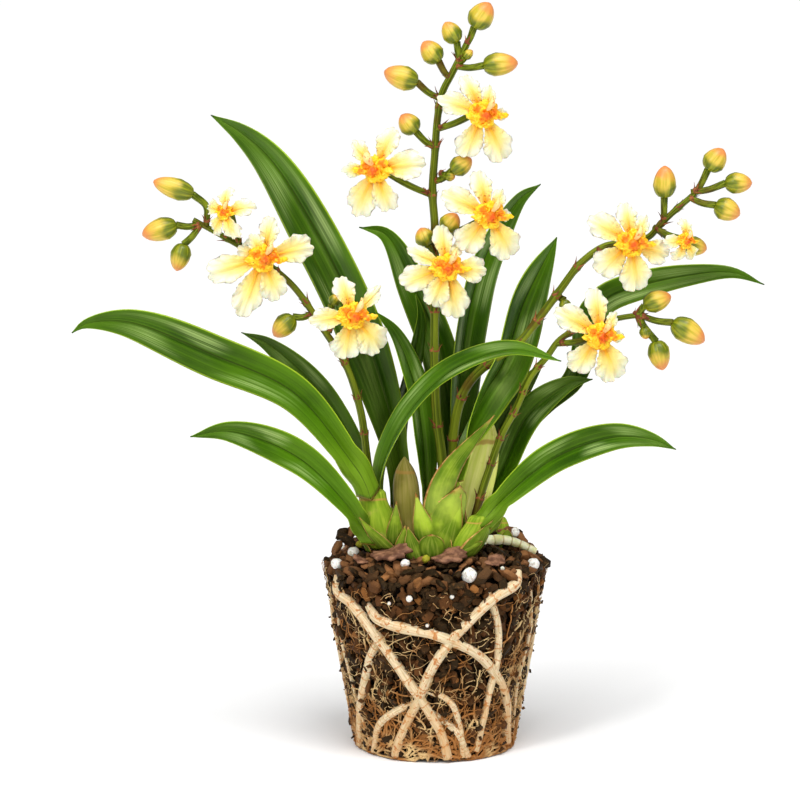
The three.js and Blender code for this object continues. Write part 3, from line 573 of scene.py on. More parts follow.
# Pointed bracts round the bulbs' feet: foot, tip, width, bearing and how blunt they are.
BRACTS = {
    "bulb_left": [((-18, -17, 89.3), (-17, -15, 108.6), 6.4, 0, 0.75),
                  ((-20.5, -20.5, 88.7), (-31.9, -19.5, 102.6), 6, -10, 0.8)],
    "bulb_front": [((-2.1, -23, 88.2), (-8.2, -20, 113.2), 9.8, -10, 0.95),
                   ((1.7, -24, 88.4), (9.2, -20, 112.6), 9.6, 10, 1.0),
                   ((-2.1, -27, 86.4), (-2.5, -26, 96.9), 8.6, 0, 4),
                   ((-15.1, -22, 85.5), (-12.8, -20, 99.2), 5, -10, 1),
                   ((-8.4, -26.5, 84.6), (-12.3, -22, 99.2), 6.6, 0, 1)],
    "bulb_right": [((18.5, -22, 94.5), (26.1, -18, 102.3), 5, 20, 1.2),
                   ((8.9, -27.5, 87.8), (18.5, -26, 93.9), 5, 0, 2)],
}
# The leaf-like wrap that rises from the front bulb and clasps the leaf above it.
TALL_WRAP = {
    "path": [(1.3, -24.3, 92.3), (1.3, -24.9, 103.5), (1.5, -25.3, 110.8), (3.4, -25.3, 118.5),
             (7.6, -24, 125.9), (13.5, -21.5, 133.2), (18.9, -19, 139.1), (23.8, -17, 144.8)],
    "width": 15.8, "foot": 0.9, "full": 0.1, "turn": (88, 80), "fold": (-44, -36, -10),
    "narrows": (0.2, 1.05),
}
# A bulb's width at a height, both as shares, up to its neck.
BULB_SHAPE = [(0, 0.7), (0.15, 0.92), (0.3, 1), (0.45, 1), (0.6, 0.93), (0.8, 0.7)]
BULB_ROWS = 12
BULB_SIDES = 12
BULB_RIBS = 0.25
SHEATH_ROWS = 16
SHEATH_COLUMNS = 12
SHEATH_DEPTH = 0.45
BRACT_SPREAD = 100


class Swelling:
    """The form of a bulb, or of what a bract is wrapped round, in millimetres."""

    def __init__(self, foot, top, width, depth, neck, lean=1):
        self.foot = Vector(foot)
        self.top = Vector(top)
        self.width = width
        self.depth = depth
        self.shape = [*BULB_SHAPE, (1, neck)]
        self.lean = lean

    def share(self, height):
        """Its width at a height, as a share of its widest."""
        height = min(max(height, 0) ** self.lean, 1)
        for (low, thin), (high, thick) in zip(self.shape, self.shape[1:]):
            if height <= high:
                return mixed(thin, thick, (height - low) / (high - low))

    def at(self, height, bearing, proud):
        """A place on its skin, `proud` of it by so many millimetres."""
        share = self.share(height)
        out = Vector((sin(bearing), -cos(bearing), 0))
        reach = Vector((share * self.width / 2 + proud, share * self.depth / 2 + proud, 0))
        return (self.foot.lerp(self.top, height) + out * reach) * MM


def bulb(name, form):
    """A bulb's flesh, with five faint ribs."""
    rings = [[form.foot * MM] * BULB_SIDES]
    for row in range(BULB_ROWS + 1):
        height = row / BULB_ROWS
        rings.append(
            [form.at(height, turn, BULB_RIBS * cos(5 * turn)) for turn in turns_of(BULB_SIDES)]
        )
    rings.append([form.top * MM] * BULB_SIDES)
    piece = skin(name + "_flesh", rings)
    smooth = piece.modifiers.new("smooth", "SUBSURF")
    smooth.levels = smooth.render_levels = 1
    picked(piece)
    bpy.ops.object.modifier_apply(modifier=smooth.name)
    return piece


def sheath(name, form, low, high, bearing, spread, blunt):
    """A sheath wraps the bulb at its foot, narrows to a point and lifts off a little there."""

    def section(share):
        narrow = max(1 - share**blunt, 0.02)
        height = mixed(low, high, share)
        proud = 0.55 + 0.3 * share + 1.1 * share**4
        for hand in hands_of(SHEATH_COLUMNS):
            at = radians(bearing + hand * spread * narrow)
            middle = form.at(height, at, proud + 0.25 * hand**4)
            half = form.at(height, at, proud + SHEATH_DEPTH / 2) - form.at(height, at, proud)
            yield middle, half

    return blade(name, section, SHEATH_ROWS)


def bract(name, foot, tip, width, bearing, blunt):
    """A bract stands on the bark by a bulb's foot and hugs a slim form of its own."""
    form = Swelling(foot, tip, width, width * 0.6, 0.5)
    return sheath(name, form, 0, 1, bearing, BRACT_SPREAD, blunt)


def joined(name, pieces):
    """Several meshes made one piece."""
    picked(*pieces)
    bpy.ops.object.join()
    pieces[0].name = name
    return pieces[0]


def bulb_paint(name, pale, deep):
    """Flesh of a bulb: fine upright streaks, soft patches, dry blotches and a ring near its top."""
    paint = Paint(name, Specular_IOR_Level=0.35, Specular_Tint=rgb(245, 255, 140))
    _, height = paint.lengthwise()
    streaks = paint.streaks(26, 1.6, 3)
    blotches = paint.noise(190, 4)
    ring = 1 - abs(height + blotches * 0.05 - 0.82).between(0.008, 0.022)
    colour = paint.coats(
        pale,
        (streaks.between(0.3, 0.7), deep),
        (paint.noise(75, 2).between(0.42, 0.64) * 0.55, deep),
        ((1 - height.between(0.05, 0.4)) * 0.5, rgb(84, 118, 18)),
        (ring * 0.75, rgb(186, 140, 72)),
        (blotches.between(0.6, 0.78) * 0.4, rgb(178, 156, 84)),
    )
    relief = paint.bump(streaks + blotches * 0.4, strength=0.4, depth=0.0006)
    return paint.finish(Base_Color=colour, Roughness=0.36 + blotches * 0.2, Normal=relief)


flesh_paints = {
    "bulb": bulb_paint("bulb_green", rgb(158, 176, 52), rgb(98, 132, 16)),
    "bulb_brown": bulb_paint("bulb_olive", rgb(178, 158, 92), rgb(134, 128, 48)),
    "bulb_tall": bulb_paint("bulb_pale", rgb(255, 250, 160), rgb(218, 228, 96)),
}

sheath_paint = Paint("sheath_papery", Specular_IOR_Level=0.3, Specular_Tint=rgb(245, 255, 140))
_, _, sheath_height = sheath_paint.axes()
up_sheath, sheath_edge = sheath_paint.blade_map()
sheath_veins = sheath_paint.streaks(26, 1.2, 3)
frayed = sheath_paint.noise(330, 3)
pale_patch = sheath_paint.noise(110, 3).between(0.38, 0.66)
pale_band = sheath_height.between(0.099, 0.11) * (1 - sheath_height.between(0.113, 0.124))
dry = (sheath_edge + frayed * 0.14 - 0.07).between(0.87, 0.93)
dry_tip = (up_sheath + frayed * 0.16 - 0.08).between(0.88, 0.98)
dried = sheath_paint.coats(rgb(204, 158, 92), (frayed.between(0.4, 0.65), rgb(142, 92, 44)))
sheath_green = sheath_paint.coats(
    rgb(84, 116, 12),
    (pale_patch, rgb(154, 180, 46)),
    ((1 - up_sheath.between(0.0, 0.4)) * 0.7, rgb(46, 76, 4)),
    (pale_band * 0.36, rgb(180, 194, 88)),
    (sheath_height.between(0.112, 0.136) * 0.62, rgb(58, 98, 10)),
    # Painted shade: darker low down between the bulbs, and towards each sheath's sides where it curves
    # away.
    ((1 - sheath_height.between(0.09, 0.102)) * 0.68, rgb(50, 74, 5)),
    (sheath_edge.between(0.45, 0.95) * 0.6, rgb(50, 80, 6)),
    (sheath_veins.between(0.4, 0.75) * 0.35, rgb(168, 176, 72)),
    (dry, dried),
    (dry_tip, dried),
)
sheath_paint.finish(
    Base_Color=sheath_green,
    Roughness=0.42 + frayed * 0.25,
    Normal=sheath_paint.bump(sheath_veins, strength=0.4, depth=0.0006),
)
for bulb_name, sizes in BULBS.items():
    form = Swelling(*sizes)
    flesh = flesh_paints.get(bulb_name, flesh_paints["bulb"])
    slot = "bulb_brown" if bulb_name == "bulb_brown" else "bulb"
    dress(bulb(bulb_name, form), flesh, slot, bulb_name)
    wraps = [sheath("wrap", form, *place) for place in SHEATHS[bulb_name]]
    wraps += [bract("wrap", *shape) for shape in BRACTS.get(bulb_name, [])]
    if bulb_name == "bulb_front":
        wraps.append(leaf("wrap", **TALL_WRAP))
    dress(joined(bulb_name + "_sheaths", wraps), sheath_paint, slot)

# ---------------------------------------- spikes
# Olive stems with short side stalks. Every stalk leaves its stem between small dry brown bracts
# and ends in a bud, or behind a flower. A stem and its stalks are one piece, and so are a spike's
# buds and its bracts.

# Each spike's stem and its radius at its two ends, its buds, each with its stalk, its tip and its
# size, the stalks that hold flowers, and how far along the stem its nodes are.
SPIKES = {
    "spike_left": {
        "stem": [(-25, 4, 97), (-29, 0, 121), (-32, -3, 144), (-38, -6, 164), (-47, -8, 179),
                 (-60, -9, 198), (-73, -10, 209), (-87, -11, 218), (-101, -12, 226)],
        "girth": (1.8, 1.15),
        "buds": [
            ([(-95.5, -12, 224), (-95.5, -14, 232), (-101, -15, 237)], (-117, -16, 242.5), 4.1),
            ([(-98, -12, 224), (-108, -14, 224)], (-122, -14, 220), 4.5),
            ([(-98, -12, 224), (-105, -14, 216)], (-108, -14, 205), 3.9),
            ([(-52, -8.5, 186), (-60, -10, 185)], (-68, -10, 177), 4.2),
            ([(-45, -8, 178), (-44, -8, 190)], (-41, -8, 194), 2.3),
        ],
        "holds": [[(-66, -9.5, 204), (-72, -16, 211)], [(-41, -7, 170), (-36, -15, 185)],
                  [(-82, -11, 216), (-85, -19, 228.9)]],
        "nodes": (0.12, 0.24, 0.34, 0.44, 0.63, 0.8, 0.9),
    },
    "spike_centre": {
        "stem": [(4, -2, 97), (2, -3, 125), (0, -3, 141), (-1, -4, 165), (-1, -4, 195), (-1, -4, 222),
                 (-2, -4, 237), (-1, -4, 253), (0, -4, 267), (2, -5, 278), (6, -5, 286), (12, -5, 298)],
        "girth": (2.15, 1.4),
        "buds": [
            ([(12, -5, 298), (15, -6, 305)], (21.4, -6, 315), 4.9),
            ([(8.4, -5, 291), (11, -6, 292.5)], (14.3, -7, 295.6), 1.7),
            ([(9, -5, 291), (8, -6, 299)], (3, -6, 307), 3.8),
            ([(5, -5, 284), (0.5, -6, 291)], (-6, -6, 299), 4.3),
            ([(0.6, -4, 275.5), (-8.5, -8, 282.5)], (-22, -8, 287), 4.7),
            ([(7, -5, 289), (19, -8, 289.5)], (33, -8, 290.5), 4.5),
            ([(-1, -4, 255), (-9, -7, 262)], (-15, -8, 269), 4.2),
            ([(-1, -4, 241), (6, -9, 246)], (14, -10, 251), 3.9),
            ([(1.3, -6, 244.7), (3.8, -8, 244.2)], (7.2, -9, 243.1), 2),
            ([(-1, -4, 210), (3, -8, 221)], (8, -9, 228), 4.1),
            ([(-1, -4, 210), (-4, -8, 215)], (-7, -8, 222), 3.8),
        ],
        "holds": [[(-2, -4, 235), (-22, -9, 246)], [(-1, -4, 262.5), (17, -10, 271)],
                  [(-1, -4, 217), (20, -13, 227)], [(-1, -4, 201), (3, -14, 206)]],
        "nodes": (0.1, 0.2, 0.29, 0.36, 0.44, 0.52, 0.6, 0.68, 0.78, 0.86),
    },
    "spike_upper_right": {
        "stem": [(8, 4, 97), (7, 3, 133), (12, 0, 153), (22, -4, 165), (33, -4, 172), (43, -3, 184),
                 (51, -3, 195), (60, -4, 207), (70, -4, 214), (81, -4, 215.5), (88, -5, 218),
                 (92, -6, 222.6), (97.1, -6.5, 227.8), (106.7, -8, 236.5)],
        "girth": (2.3, 1.2),
        "buds": [
            ([(94, -6.5, 225), (94, -8, 235)], (94, -9, 248), 4.5),
            ([(106.7, -8, 236.5), (111.8, -9, 246.5)], (118, -9, 255), 4.5),
            ([(105, -8, 237), (119, -10, 241)], (130, -10, 241), 4.1),
            ([(104, -7.5, 235), (115, -11, 232)], (125, -12, 228), 4.5),
            ([(90, -5, 222), (103, -6, 215)], (112, -6, 213), 3.7),
            ([(50, 1, 194), (53, -2, 191)], (54, -3, 186), 2.2),
        ],
        "holds": [[(66, -3.5, 212), (78, -13, 217)], [(90, -5, 222), (102, -14, 218)]],
        "nodes": (0.18, 0.28, 0.38, 0.46, 0.53, 0.6, 0.68, 0.82, 0.9, 0.95),
    },
    "spike_lower_right": {
        "stem": [(14, -13, 94), (19, -12, 112), (22, -11, 121), (27, -10, 135), (33, -8, 146),
                 (39, -6, 159), (46, -7, 168), (51, -8, 175), (59, -9, 180), (69, -10, 183),
                 (77, -11, 185), (84, -11, 186)],
        "girth": (1.75, 1.15),
        "buds": [
            ([(82, -11, 186), (86, -11, 190)], (97, -11, 194), 4.2),
            ([(84, -11, 186), (98, -12, 183)], (111, -12, 175), 4.9),
            ([(83, -11, 186), (91, -12, 175)], (94, -12, 163), 4.3),
            ([(83, -11, 186), (86, -12, 181)], (87, -12, 176), 2.2),
        ],
        "holds": [[(50, -8, 173.5), (66, -16, 178)]],
        "nodes": (0.12, 0.24, 0.33, 0.42, 0.5, 0.6, 0.76, 0.88),
    },
}
STEM_SIDES = 12
STEM_ROWS = 150
STALK_SIDES = 10
STALK_ROWS = 14
STALK_WIDTH = 2.7
# How far along a stalk its own dry ring sits, and the stalk's radius there.
STALK_NODE = 0.12
STALK_GIRTH = 1.2
BUD_SIDES = 18
BUD_ROWS = 16
# Up to this size a bud is green, and so much bigger it is ripe.
BUD_GREEN = 3.4
BUD_RIPENS = 1.1
# The dry ring at a node, from its foot to its ragged rim: reach, height and how ragged.
RING_STEPS = ((0.9, -0.6, 0), (1.08, -0.5, 0.04), (1.14, 0.1, 0.04), (1, 0.5, 0.3))
RING_SIDES = 14
RING_HEIGHT = 1.1
NODE_BRACTS = 4
BRACT_TURN = 1.75
BRACT_WIDTH = 2
BRACT_LENGTHS = (2.3, 4.6)
GOLDEN_TURN = radians(137.508)


def tube(name, route, radius, sides, rows):
    """A round body along a route, with rounded-off ends. `radius` reads the share and the turn."""
    rings = []
    turns = turns_of(sides)
    for share, middle, side, other in route.frames(rows):
        out = [side * cos(turn) + other * sin(turn) for turn in turns]
        rings.append([middle + way * radius(share, turn) for way, turn in zip(out, turns)])
    first, last = [[route.at(end)] * sides for end in (0, 1)]
    return skin(name, [first, *rings, last])


def thrown(steps, sides, spot):
    """Rings as on a potter's wheel: a step makes a ring of the spots at every turn."""
    return [[spot(turn, *step) for turn in turns_of(sides)] for step in steps]


def bell(distance, width):
    """1 at no distance, and next to nothing beyond a few widths."""
    return exp(-((distance / width) ** 2))


def stem(name, route, girth, nodes):
    """A ribbed stem with a slight swelling at each node."""

    def radius(share, turn):
        swell = sum(bell(share - node, 0.008) for node in nodes)
        rib = 0.05 * cos(5 * turn)
        return mixed(*girth, share) * (1 + rib) * MM + 0.35 * MM * swell

    return tube(name, route, radius, STEM_SIDES, STEM_ROWS)


def stalk(name, points):
    """A side stalk with shallow ribs, a little thicker towards what it carries."""
    start, *bends, end = points
    if not bends:
        bends = [Vector(start).lerp(Vector(end), 0.5) - Vector((0, 0, 0.8))]
    half = STALK_WIDTH / 2

    def radius(share, turn):
        return (half * (0.95 + 0.2 * share) + 0.06 * cos(5 * turn)) * MM

    return tube(name, Route([start, *bends, end]), radius, STALK_SIDES, STALK_ROWS)


def marked(piece, name, value):
    """Gives every vertex of a piece the same value of an attribute that its material reads."""
    mark = piece.data.attributes.new(name, "FLOAT", "POINT")
    mark.data.foreach_set("value", [value] * len(piece.data.vertices))
    return piece


def bud(name, foot, tip, size):
    """An egg-shaped bud: closed sepals leave shallow creases that meet at its tip."""

    def radius(share, turn):
        body = sin(pi * min(share, 0.995) ** 0.82) ** 0.5
        crease = 1 - 0.08 * share * abs(cos(1.5 * turn)) ** 8
        lip = 0.05 * bell(share - 0.36 - 0.05 * sin(3 * turn), 0.05)
        return max((size + 0.3) * body * (crease + lip), 0.5 * (1 - share)) * MM

    reach = [Vector(foot), Vector(tip)]
    reach = [reach[0].lerp(reach[1], share) for share in (-0.04, 0.5, 1.0)]
    ripeness = min(max((size - BUD_GREEN) / BUD_RIPENS, 0), 1)
    return marked(tube(name, Route(reach), radius, BUD_SIDES, BUD_ROWS), "ripe", ripeness)


def tinted(mesh, tints):
    """Gives every point of a mesh its own value of the attribute that its material reads."""
    mesh.attributes.new("tint", "FLOAT", "POINT").data.foreach_set("value", tints)


def strewn(name, patterns, places):
    """One piece of many copies. A place gives its pattern, where the copy goes and its tint."""
    spots, faces, tints = [], [], []
    for pattern, matrix, tint in places:
        first = len(spots)
        spots.extend(matrix @ spot.co for spot in patterns[pattern].vertices)
        faces.extend([first + corner for corner in face.vertices] for face in patterns[pattern].polygons)
        tints.extend([tint] * len(patterns[pattern].vertices))
    mesh = bpy.data.meshes.new(name)
    mesh.from_pydata(spots, [], faces)
    tinted(mesh, tints)
    mesh.shade_smooth()
    piece = bpy.data.objects.new(name, mesh)
    bpy.context.scene.collection.objects.link(piece)
    return piece


def pattern_of(piece):
    """Takes a modelled object's mesh as a pattern and clears the object away."""
    mesh = piece.data
    bpy.data.objects.remove(piece)
    return mesh


def scale_pattern():
    """A dry bract: a narrow pointed scale that hugs the stem and leans out at its tip."""

    def section(share):
        for hand in hands_of(4):
            wide = hand * 0.3 * (1 - share**1.5) + 0.02 * hand
            middle = Vector((wide, 0.12 - 0.3 * hand * hand * (1 - share) + 0.6 * share**1.6, share))
            yield middle, Vector((0, 0.06 * (1 - 0.5 * share), 0))

    return pattern_of(blade("scale", section, 5))


def ring_pattern():
    """The dry ragged ring at a node, round a stem of radius 1."""

    def spot(turn, reach, height, ragged):
        lift = height + ragged * sin(5 * turn + 1) + ragged * sin(3 * turn)
        return Vector((reach * cos(turn), reach * sin(turn), lift))

    return pattern_of(skin("ring", thrown(RING_STEPS, RING_SIDES, spot)))


def facing(way):
    """Turns a pattern's up along a way."""
    return way.to_track_quat("Z", "Y").to_matrix().to_4x4()


def bract_places(route, share, girth, turn, draw):
    """A dry ring at a node and a few bracts round it, each a good quarter turn on from the last."""
    middle, along = route.at(share), route.along(share)
    loose = girth * 1.08 * MM
    grown = Matrix.Diagonal((loose, loose, RING_HEIGHT * MM, 1))
    yield "ring", Matrix.Translation(middle) @ facing(along) @ grown, draw.random()
    for count in range(NODE_BRACTS):
        angle = turn + count * BRACT_TURN + draw.uniform(-0.3, 0.3)
        out = Vector((cos(angle), sin(angle), 0.01))
        out = (out - along * out.dot(along)).normalized()
        size = mixed(*BRACT_LENGTHS, draw.random())
        turned = Matrix((out.cross(along), out, along)).transposed().to_4x4()
        foot = Matrix.Translation(middle + out * (girth - 0.3) * MM - along * 0.5 * MM)
        grown = Matrix.Diagonal((BRACT_WIDTH * MM, size * MM * 0.8, size * MM, 1))
        yield "scale", foot @ turned @ grown, draw.random()


stem_paint = Paint("stem_olive", Specular_IOR_Level=0.35, Specular_Tint=rgb(245, 255, 150))
stem_right, stem_back, stem_height = stem_paint.axes()
ribs = stem_paint.streaks(14, 3, 2)
tan_cloud = stem_paint.noise(55, 3)
right_foot = (1 - stem_height.between(0.13, 0.17)) * stem_right.between(0.004, 0.006)
right_foot = right_foot * stem_back.between(-0.003, 0.0)
stem_colour = stem_paint.coats(
    rgb(58, 72, 6),
    (ribs.between(0.35, 0.65), rgb(116, 128, 26)),
    (right_foot * 0.6, rgb(140, 154, 34)),
    (tan_cloud.between(0.54, 0.66) * 0.7, rgb(84, 48, 18)),
)
stem_paint.finish(
    Base_Color=stem_colour,
    Roughness=0.38 + tan_cloud * 0.15,
    Normal=stem_paint.bump(ribs, strength=0.5, depth=0.0005),
)

scale_paint = Paint("bract_brown", Specular_IOR_Level=0.3)
dry_cloud = scale_paint.noise(600, 2)
scale_colour = scale_paint.coats(
    rgb(92, 44, 22),
    (scale_paint.mark("tint"), rgb(146, 80, 42)),
    (dry_cloud.between(0.5, 0.7) * 0.5, rgb(182, 118, 62)),
)
scale_paint.finish(Base_Color=scale_colour, Roughness=0.6 + dry_cloud * 0.2)

bud_paint = Paint("bud_ripening", Specular_IOR_Level=0.4, Subsurface_Weight=0.08, Subsurface_Scale=0.002)
round_bud, up_bud = bud_paint.lengthwise()
bud_cloud = bud_paint.noise(170, 2)
bud_streaks = bud_paint.streaks(18, 1.2, 2)
lobes = (round_bud * 18.85).sine() * 0.06 + bud_cloud * 0.3
ripe = bud_paint.mark("ripe")
green_cup = 1 - (up_bud - lobes + ripe * 0.2).between(0.32, 0.58)
blush = (up_bud + bud_cloud * 0.5 + ripe * 0.15).between(0.95, 1.3)
cup_green = bud_paint.coats(rgb(92, 106, 8), (bud_streaks.between(0.4, 0.65), rgb(148, 150, 22)))
bud_colour = bud_paint.coats(
    rgb(186, 166, 34),
    (bud_streaks.between(0.35, 0.65), rgb(226, 192, 78)),
    (blush * 0.85, rgb(224, 132, 74)),
    (green_cup, cup_green),
    (up_bud.between(0.92, 0.99) * 0.8, rgb(206, 84, 34)),
)
bud_paint.finish(
    Base_Color=bud_colour,
    Roughness=0.34 + bud_streaks * 0.12,
    Normal=bud_paint.bump(bud_streaks, strength=0.25, depth=0.0004),
)

scale_shapes = {"scale": scale_pattern(), "ring": ring_pattern()}
draw = random.Random(7)
for spike_name, form in SPIKES.items():
    route = Route(form["stem"])
    greens = [stem("stem", route, form["girth"], form["nodes"])]
    buds, bracts = [], []
    for index, node in enumerate(form["nodes"]):
        girth = mixed(*form["girth"], node)
        bracts.extend(bract_places(route, node, girth, index * GOLDEN_TURN, draw))
    for points, tip, size in form["buds"]:
        greens.append(stalk("stalk", points))
        buds.append(bud("bud", points[-1], tip, size))
        bracts.extend(bract_places(Route(points), STALK_NODE, STALK_GIRTH, size, draw))
    for points in form["holds"]:
        greens.append(stalk("stalk", points))
        bracts.extend(bract_places(Route(points), STALK_NODE, STALK_GIRTH, points[0][2], draw))
    dress(joined(spike_name + "_stem", greens), stem_paint, "spike", spike_name)
    dress(joined(spike_name + "_buds", buds), bud_paint, "spike")
    dress(strewn(spike_name + "_bracts", scale_shapes, bracts), scale_paint, "spike")

# ---------------------------------------- flowers
# Flowers of four to seven ruffled tepals on a bright frilled collar, with a crumpled orange callus,
# the crest, in front and a pale hooked column over it. Each is modelled facing up and then turned
# on to its stalk.

# Each flower's place, how far its face is turned to the right and upwards, and its tepals, each
# with its clock angle, its length and its width.
BLOOMS = {
    "bloom_1": {
        "at": (-72, -20, 211), "face": (12, 6),
        "tepals": [(14, 18, 8.6), (-24, 11, 7.6), (-66, 11, 7.6), (-104, 23.5, 11.9), (203, 25, 12.4),
                   (162, 18, 11.9), (76, 22, 11.9)],
    },
    "bloom_2": {
        "at": (-35, -19, 187), "face": (14, 6),
        "tepals": [(-17, 17, 9.7), (-94, 18, 9.7), (194, 18, 13), (142, 19, 14), (48, 17, 6.5)],
    },
    "bloom_3": {
        "at": (-87, -23, 230.4), "face": (-34, 16),
        "tepals": [(-10, 11, 6.5), (-76, 11, 7), (210, 11, 7), (146, 12, 7.6), (72, 13, 7.6)],
    },
    "bloom_4": {
        "at": (-25.3, -13, 247.2), "face": (-16, 4),
        "tepals": [(22, 18.5, 9.2), (81, 20, 12.4), (205, 21.5, 13), (161, 18, 10.8), (-44, 15.5, 7.6),
                   (-94, 15, 6.4)],
    },
    "bloom_5": {
        "at": (18.8, -14, 270), "face": (14, 4),
        "tepals": [(-26, 18, 8.1), (-69, 20, 9.7), (207, 19, 11.3), (156, 21, 12.4), (92, 11, 5.4),
                   (15, 12, 6.5)],
    },
    "bloom_6": {
        "at": (21.2, -17, 228.6), "face": (12, 4),
        "tepals": [(-14, 19, 9.2), (-63, 21, 10.8), (220, 18, 13), (152, 20, 13.5), (92, 10, 5.4),
                   (30, 12, 6.5)],
    },
    "bloom_7": {
        "at": (4, -18.5, 207), "face": (4, 6),
        "tepals": [(-9, 18, 8.6), (-64, 18, 7), (252, 20, 11.3), (203, 17, 10.8), (169, 21, 13),
                   (95, 16, 11.3), (28, 11, 5.4)],
    },
    "bloom_8": {
        "at": (80, -17, 217), "face": (10, 4),
        "tepals": [(-9, 17, 8.6), (-58, 20, 10.8), (230, 18, 13), (174, 20, 13), (110, 17, 10.8),
                   (31, 13, 6.5)],
    },
    "bloom_9": {
        "at": (102, -17, 218), "face": (22, 4),
        "tepals": [(4, 9, 5.9), (-90, 9, 5.9), (206, 9, 5.9), (152, 9, 5.9)],
    },
    "bloom_10": {
        "at": (67.2, -20, 178.8), "face": (12, 4),
        "tepals": [(-6, 20, 9.7), (-58, 21, 10.8), (218, 18, 11.9), (160, 20, 14), (95, 11, 5.4),
                   (38, 12, 5.4)],
    },
}
HALF_OPEN = {"bloom_3": 0.6, "bloom_9": 0.6}
MIRRORED = "bloom_4"
TEPAL_ROWS = 44
TEPAL_COLUMNS = 20
# How deep a tepal is, how far it lies in front of its neighbours or behind them, and how far its
# frill is shifted from the last one's.
TEPAL_DEPTH = 0.5
TEPAL_LAYER = 0.55
TEPAL_PHASE = 2.1
COLLAR_SIDES = 60
# The collar's steps, from the neck behind to the throat: radius, height and how frilled.
COLLAR_STEPS = (
    (0.2, -4, 0), (1.1, -3.9, 0), (1.5, -2.4, 0), (2.8, -0.9, 0.1), (4.2, 0.6, 0.5), (5.3, 1.5, 1),
    (6, 2.3, 1.3), (5.4, 2.5, 1.1), (4, 1.9, 0.6), (2.2, 1.5, 0.2), (0.2, 1.3, 0),
)
COLUMN_SIDES = 14
COLUMN_ROWS = 18
COLUMN_PATH = [(0.2, 0.4, 0.5), (1.4, 2.4, 3.4), (2.4, 4.6, 5.3), (2.9, 6.2, 5.0), (3.0, 6.9, 4.1)]


def tepal(name, size, layer, phase, clock, length, width):
    """A tepal on its clock angle: a narrow claw and a broad round end with a scalloped frill."""
    claw = 2.2 * size
    reach = length - claw
    turn = Matrix.Rotation(-radians(clock), 4, "Z")
    pointed = 0.55 if width < 10 else 0.0

    def section(share):
        broad = 0.16 + 0.84 * sin(0.64 * pi * share**1.1)
        for hand in hands_of(TEPAL_COLUMNS):
            wide = abs(hand)
            end = mixed(1 - sqrt(1 - 0.98 * hand * hand), wide**1.3, pointed)
            x = hand * width / 2 * broad
            y = reach * share * (1 - 0.31 * end * share**2)
            around = atan2(x, y - 0.5 * reach)
            edge = max(wide**3, share**5)
            lobe = abs(sin(4 * around + phase)) + 0.45 * abs(sin(9.5 * around + phase * 2))
            spread = 1 + 0.14 * (lobe - 0.7) * edge * share
            frill = sin(8 * around + phase * 2) + 0.7 * sin(17 * around + phase)
            wave = 0.11 * width * sin(share * 5 + phase + hand * 1.5) * wide**1.4 * share
            pleat = 0.03 * width * sin(hand * 13 + phase) * share * (1 - 0.5 * share)
            keel = 0.1 * width * (1 - hand * hand) - 0.05 * width * bell(hand, 0.12)
            arch = 1.6 * sin(share * 2.6) - 2.4 * share**3
            lift = layer + arch + wave + pleat - keel + 0.115 * width * frill * edge * share
            middle = Vector((x * spread, claw + 0.5 * reach + (y - 0.5 * reach) * spread, lift))
            thin = TEPAL_DEPTH * (1 - 0.55 * wide) * (1 - 0.4 * share)
            yield turn @ (middle * MM), Vector((0, 0, thin / 2 * MM))

    return blade(name, section, TEPAL_ROWS)


def collar(name, size):
    """The frilled yellow collar that the tepals meet under, on the short neck behind them."""

    def spot(turn, radius, height, frill):
        wave = sin(9 * turn) + 0.6 * sin(14 * turn + 1)
        reach = (radius + frill * (0.6 * cos(7 * turn + 1) + 0.4 * sin(3 * turn))) * size
        lift = (height + 0.6 * frill * wave) * size
        return MM * Vector((reach * cos(turn), reach * sin(turn) * 0.86, lift))

    heights = (COLLAR_STEPS[0][1], COLLAR_STEPS[-1][1])
    neck, throat = [[MM * size * Vector((0, 0, height))] * COLLAR_SIDES for height in heights]
    return skin(name, [neck, *thrown(COLLAR_STEPS, COLLAR_SIDES, spot), throat])


def column(name, size, hand):
    """The pale column rises over the crest and ends in a hooked hood."""
    points = [(x * hand * size, y * size, z * size) for x, y, z in COLUMN_PATH]

    def radius(share, turn):
        hood = 0.9 + 0.7 * bell(share - 0.66, 0.2) - 0.4 * share**4
        wing = 0.35 * cos(2 * turn) * share
        return (hood + wing) * size * MM

    return tube(name, Route(points), radius, COLUMN_SIDES, COLUMN_ROWS)


# Where the callus is warm: a place, how far its warmth reaches and how red it is there.
WARMTH = [((0.3, -0.5), 3.0, 1.15), ((-3.4, 2.2), 2.6, 0.74), ((3.4, 0.9), 2.5, 0.82),
          ((5.6, -0.9), 2.0, 0.66), ((-1.0, -3.4), 1.9, 0.5), ((0.6, 3.6), 1.8, 0.4)]
# The heaps that the callus is made of: middle, half lengths and how lumpy it is.
HEAPS = [
    ((-0.8, -0.1, 1.3), (5.0, 4.4, 2.4), 0.36),
    ((0.3, -0.5, 3.1), (2.1, 2.0, 1.6), 0.34),
    ((3.6, 1.0, 2.7), (2.3, 1.4, 1.5), 0.36),
    ((5.6, -0.9, 2.6), (2.6, 1.3, 1.3), 0.38),
    ((8.0, -0.6, 2.5), (1.7, 1.1, 1.0), 0.38),
    ((-3.6, 2.8, 2.5), (2.0, 1.7, 1.5), 0.36),
    ((-5.3, -0.4, 1.9), (2.4, 1.3, 1.2), 0.42),
    ((0.2, 3.9, 2.2), (1.8, 2.0, 1.4), 0.36),
    ((0.6, -3.9, 1.9), (2.4, 1.6, 1.4), 0.36),
]


def warmth(x, y):
    return max(
        red * exp(-((x - u) ** 2 + (y - v) ** 2) / reach**2) for (u, v), reach, red in WARMTH
    )


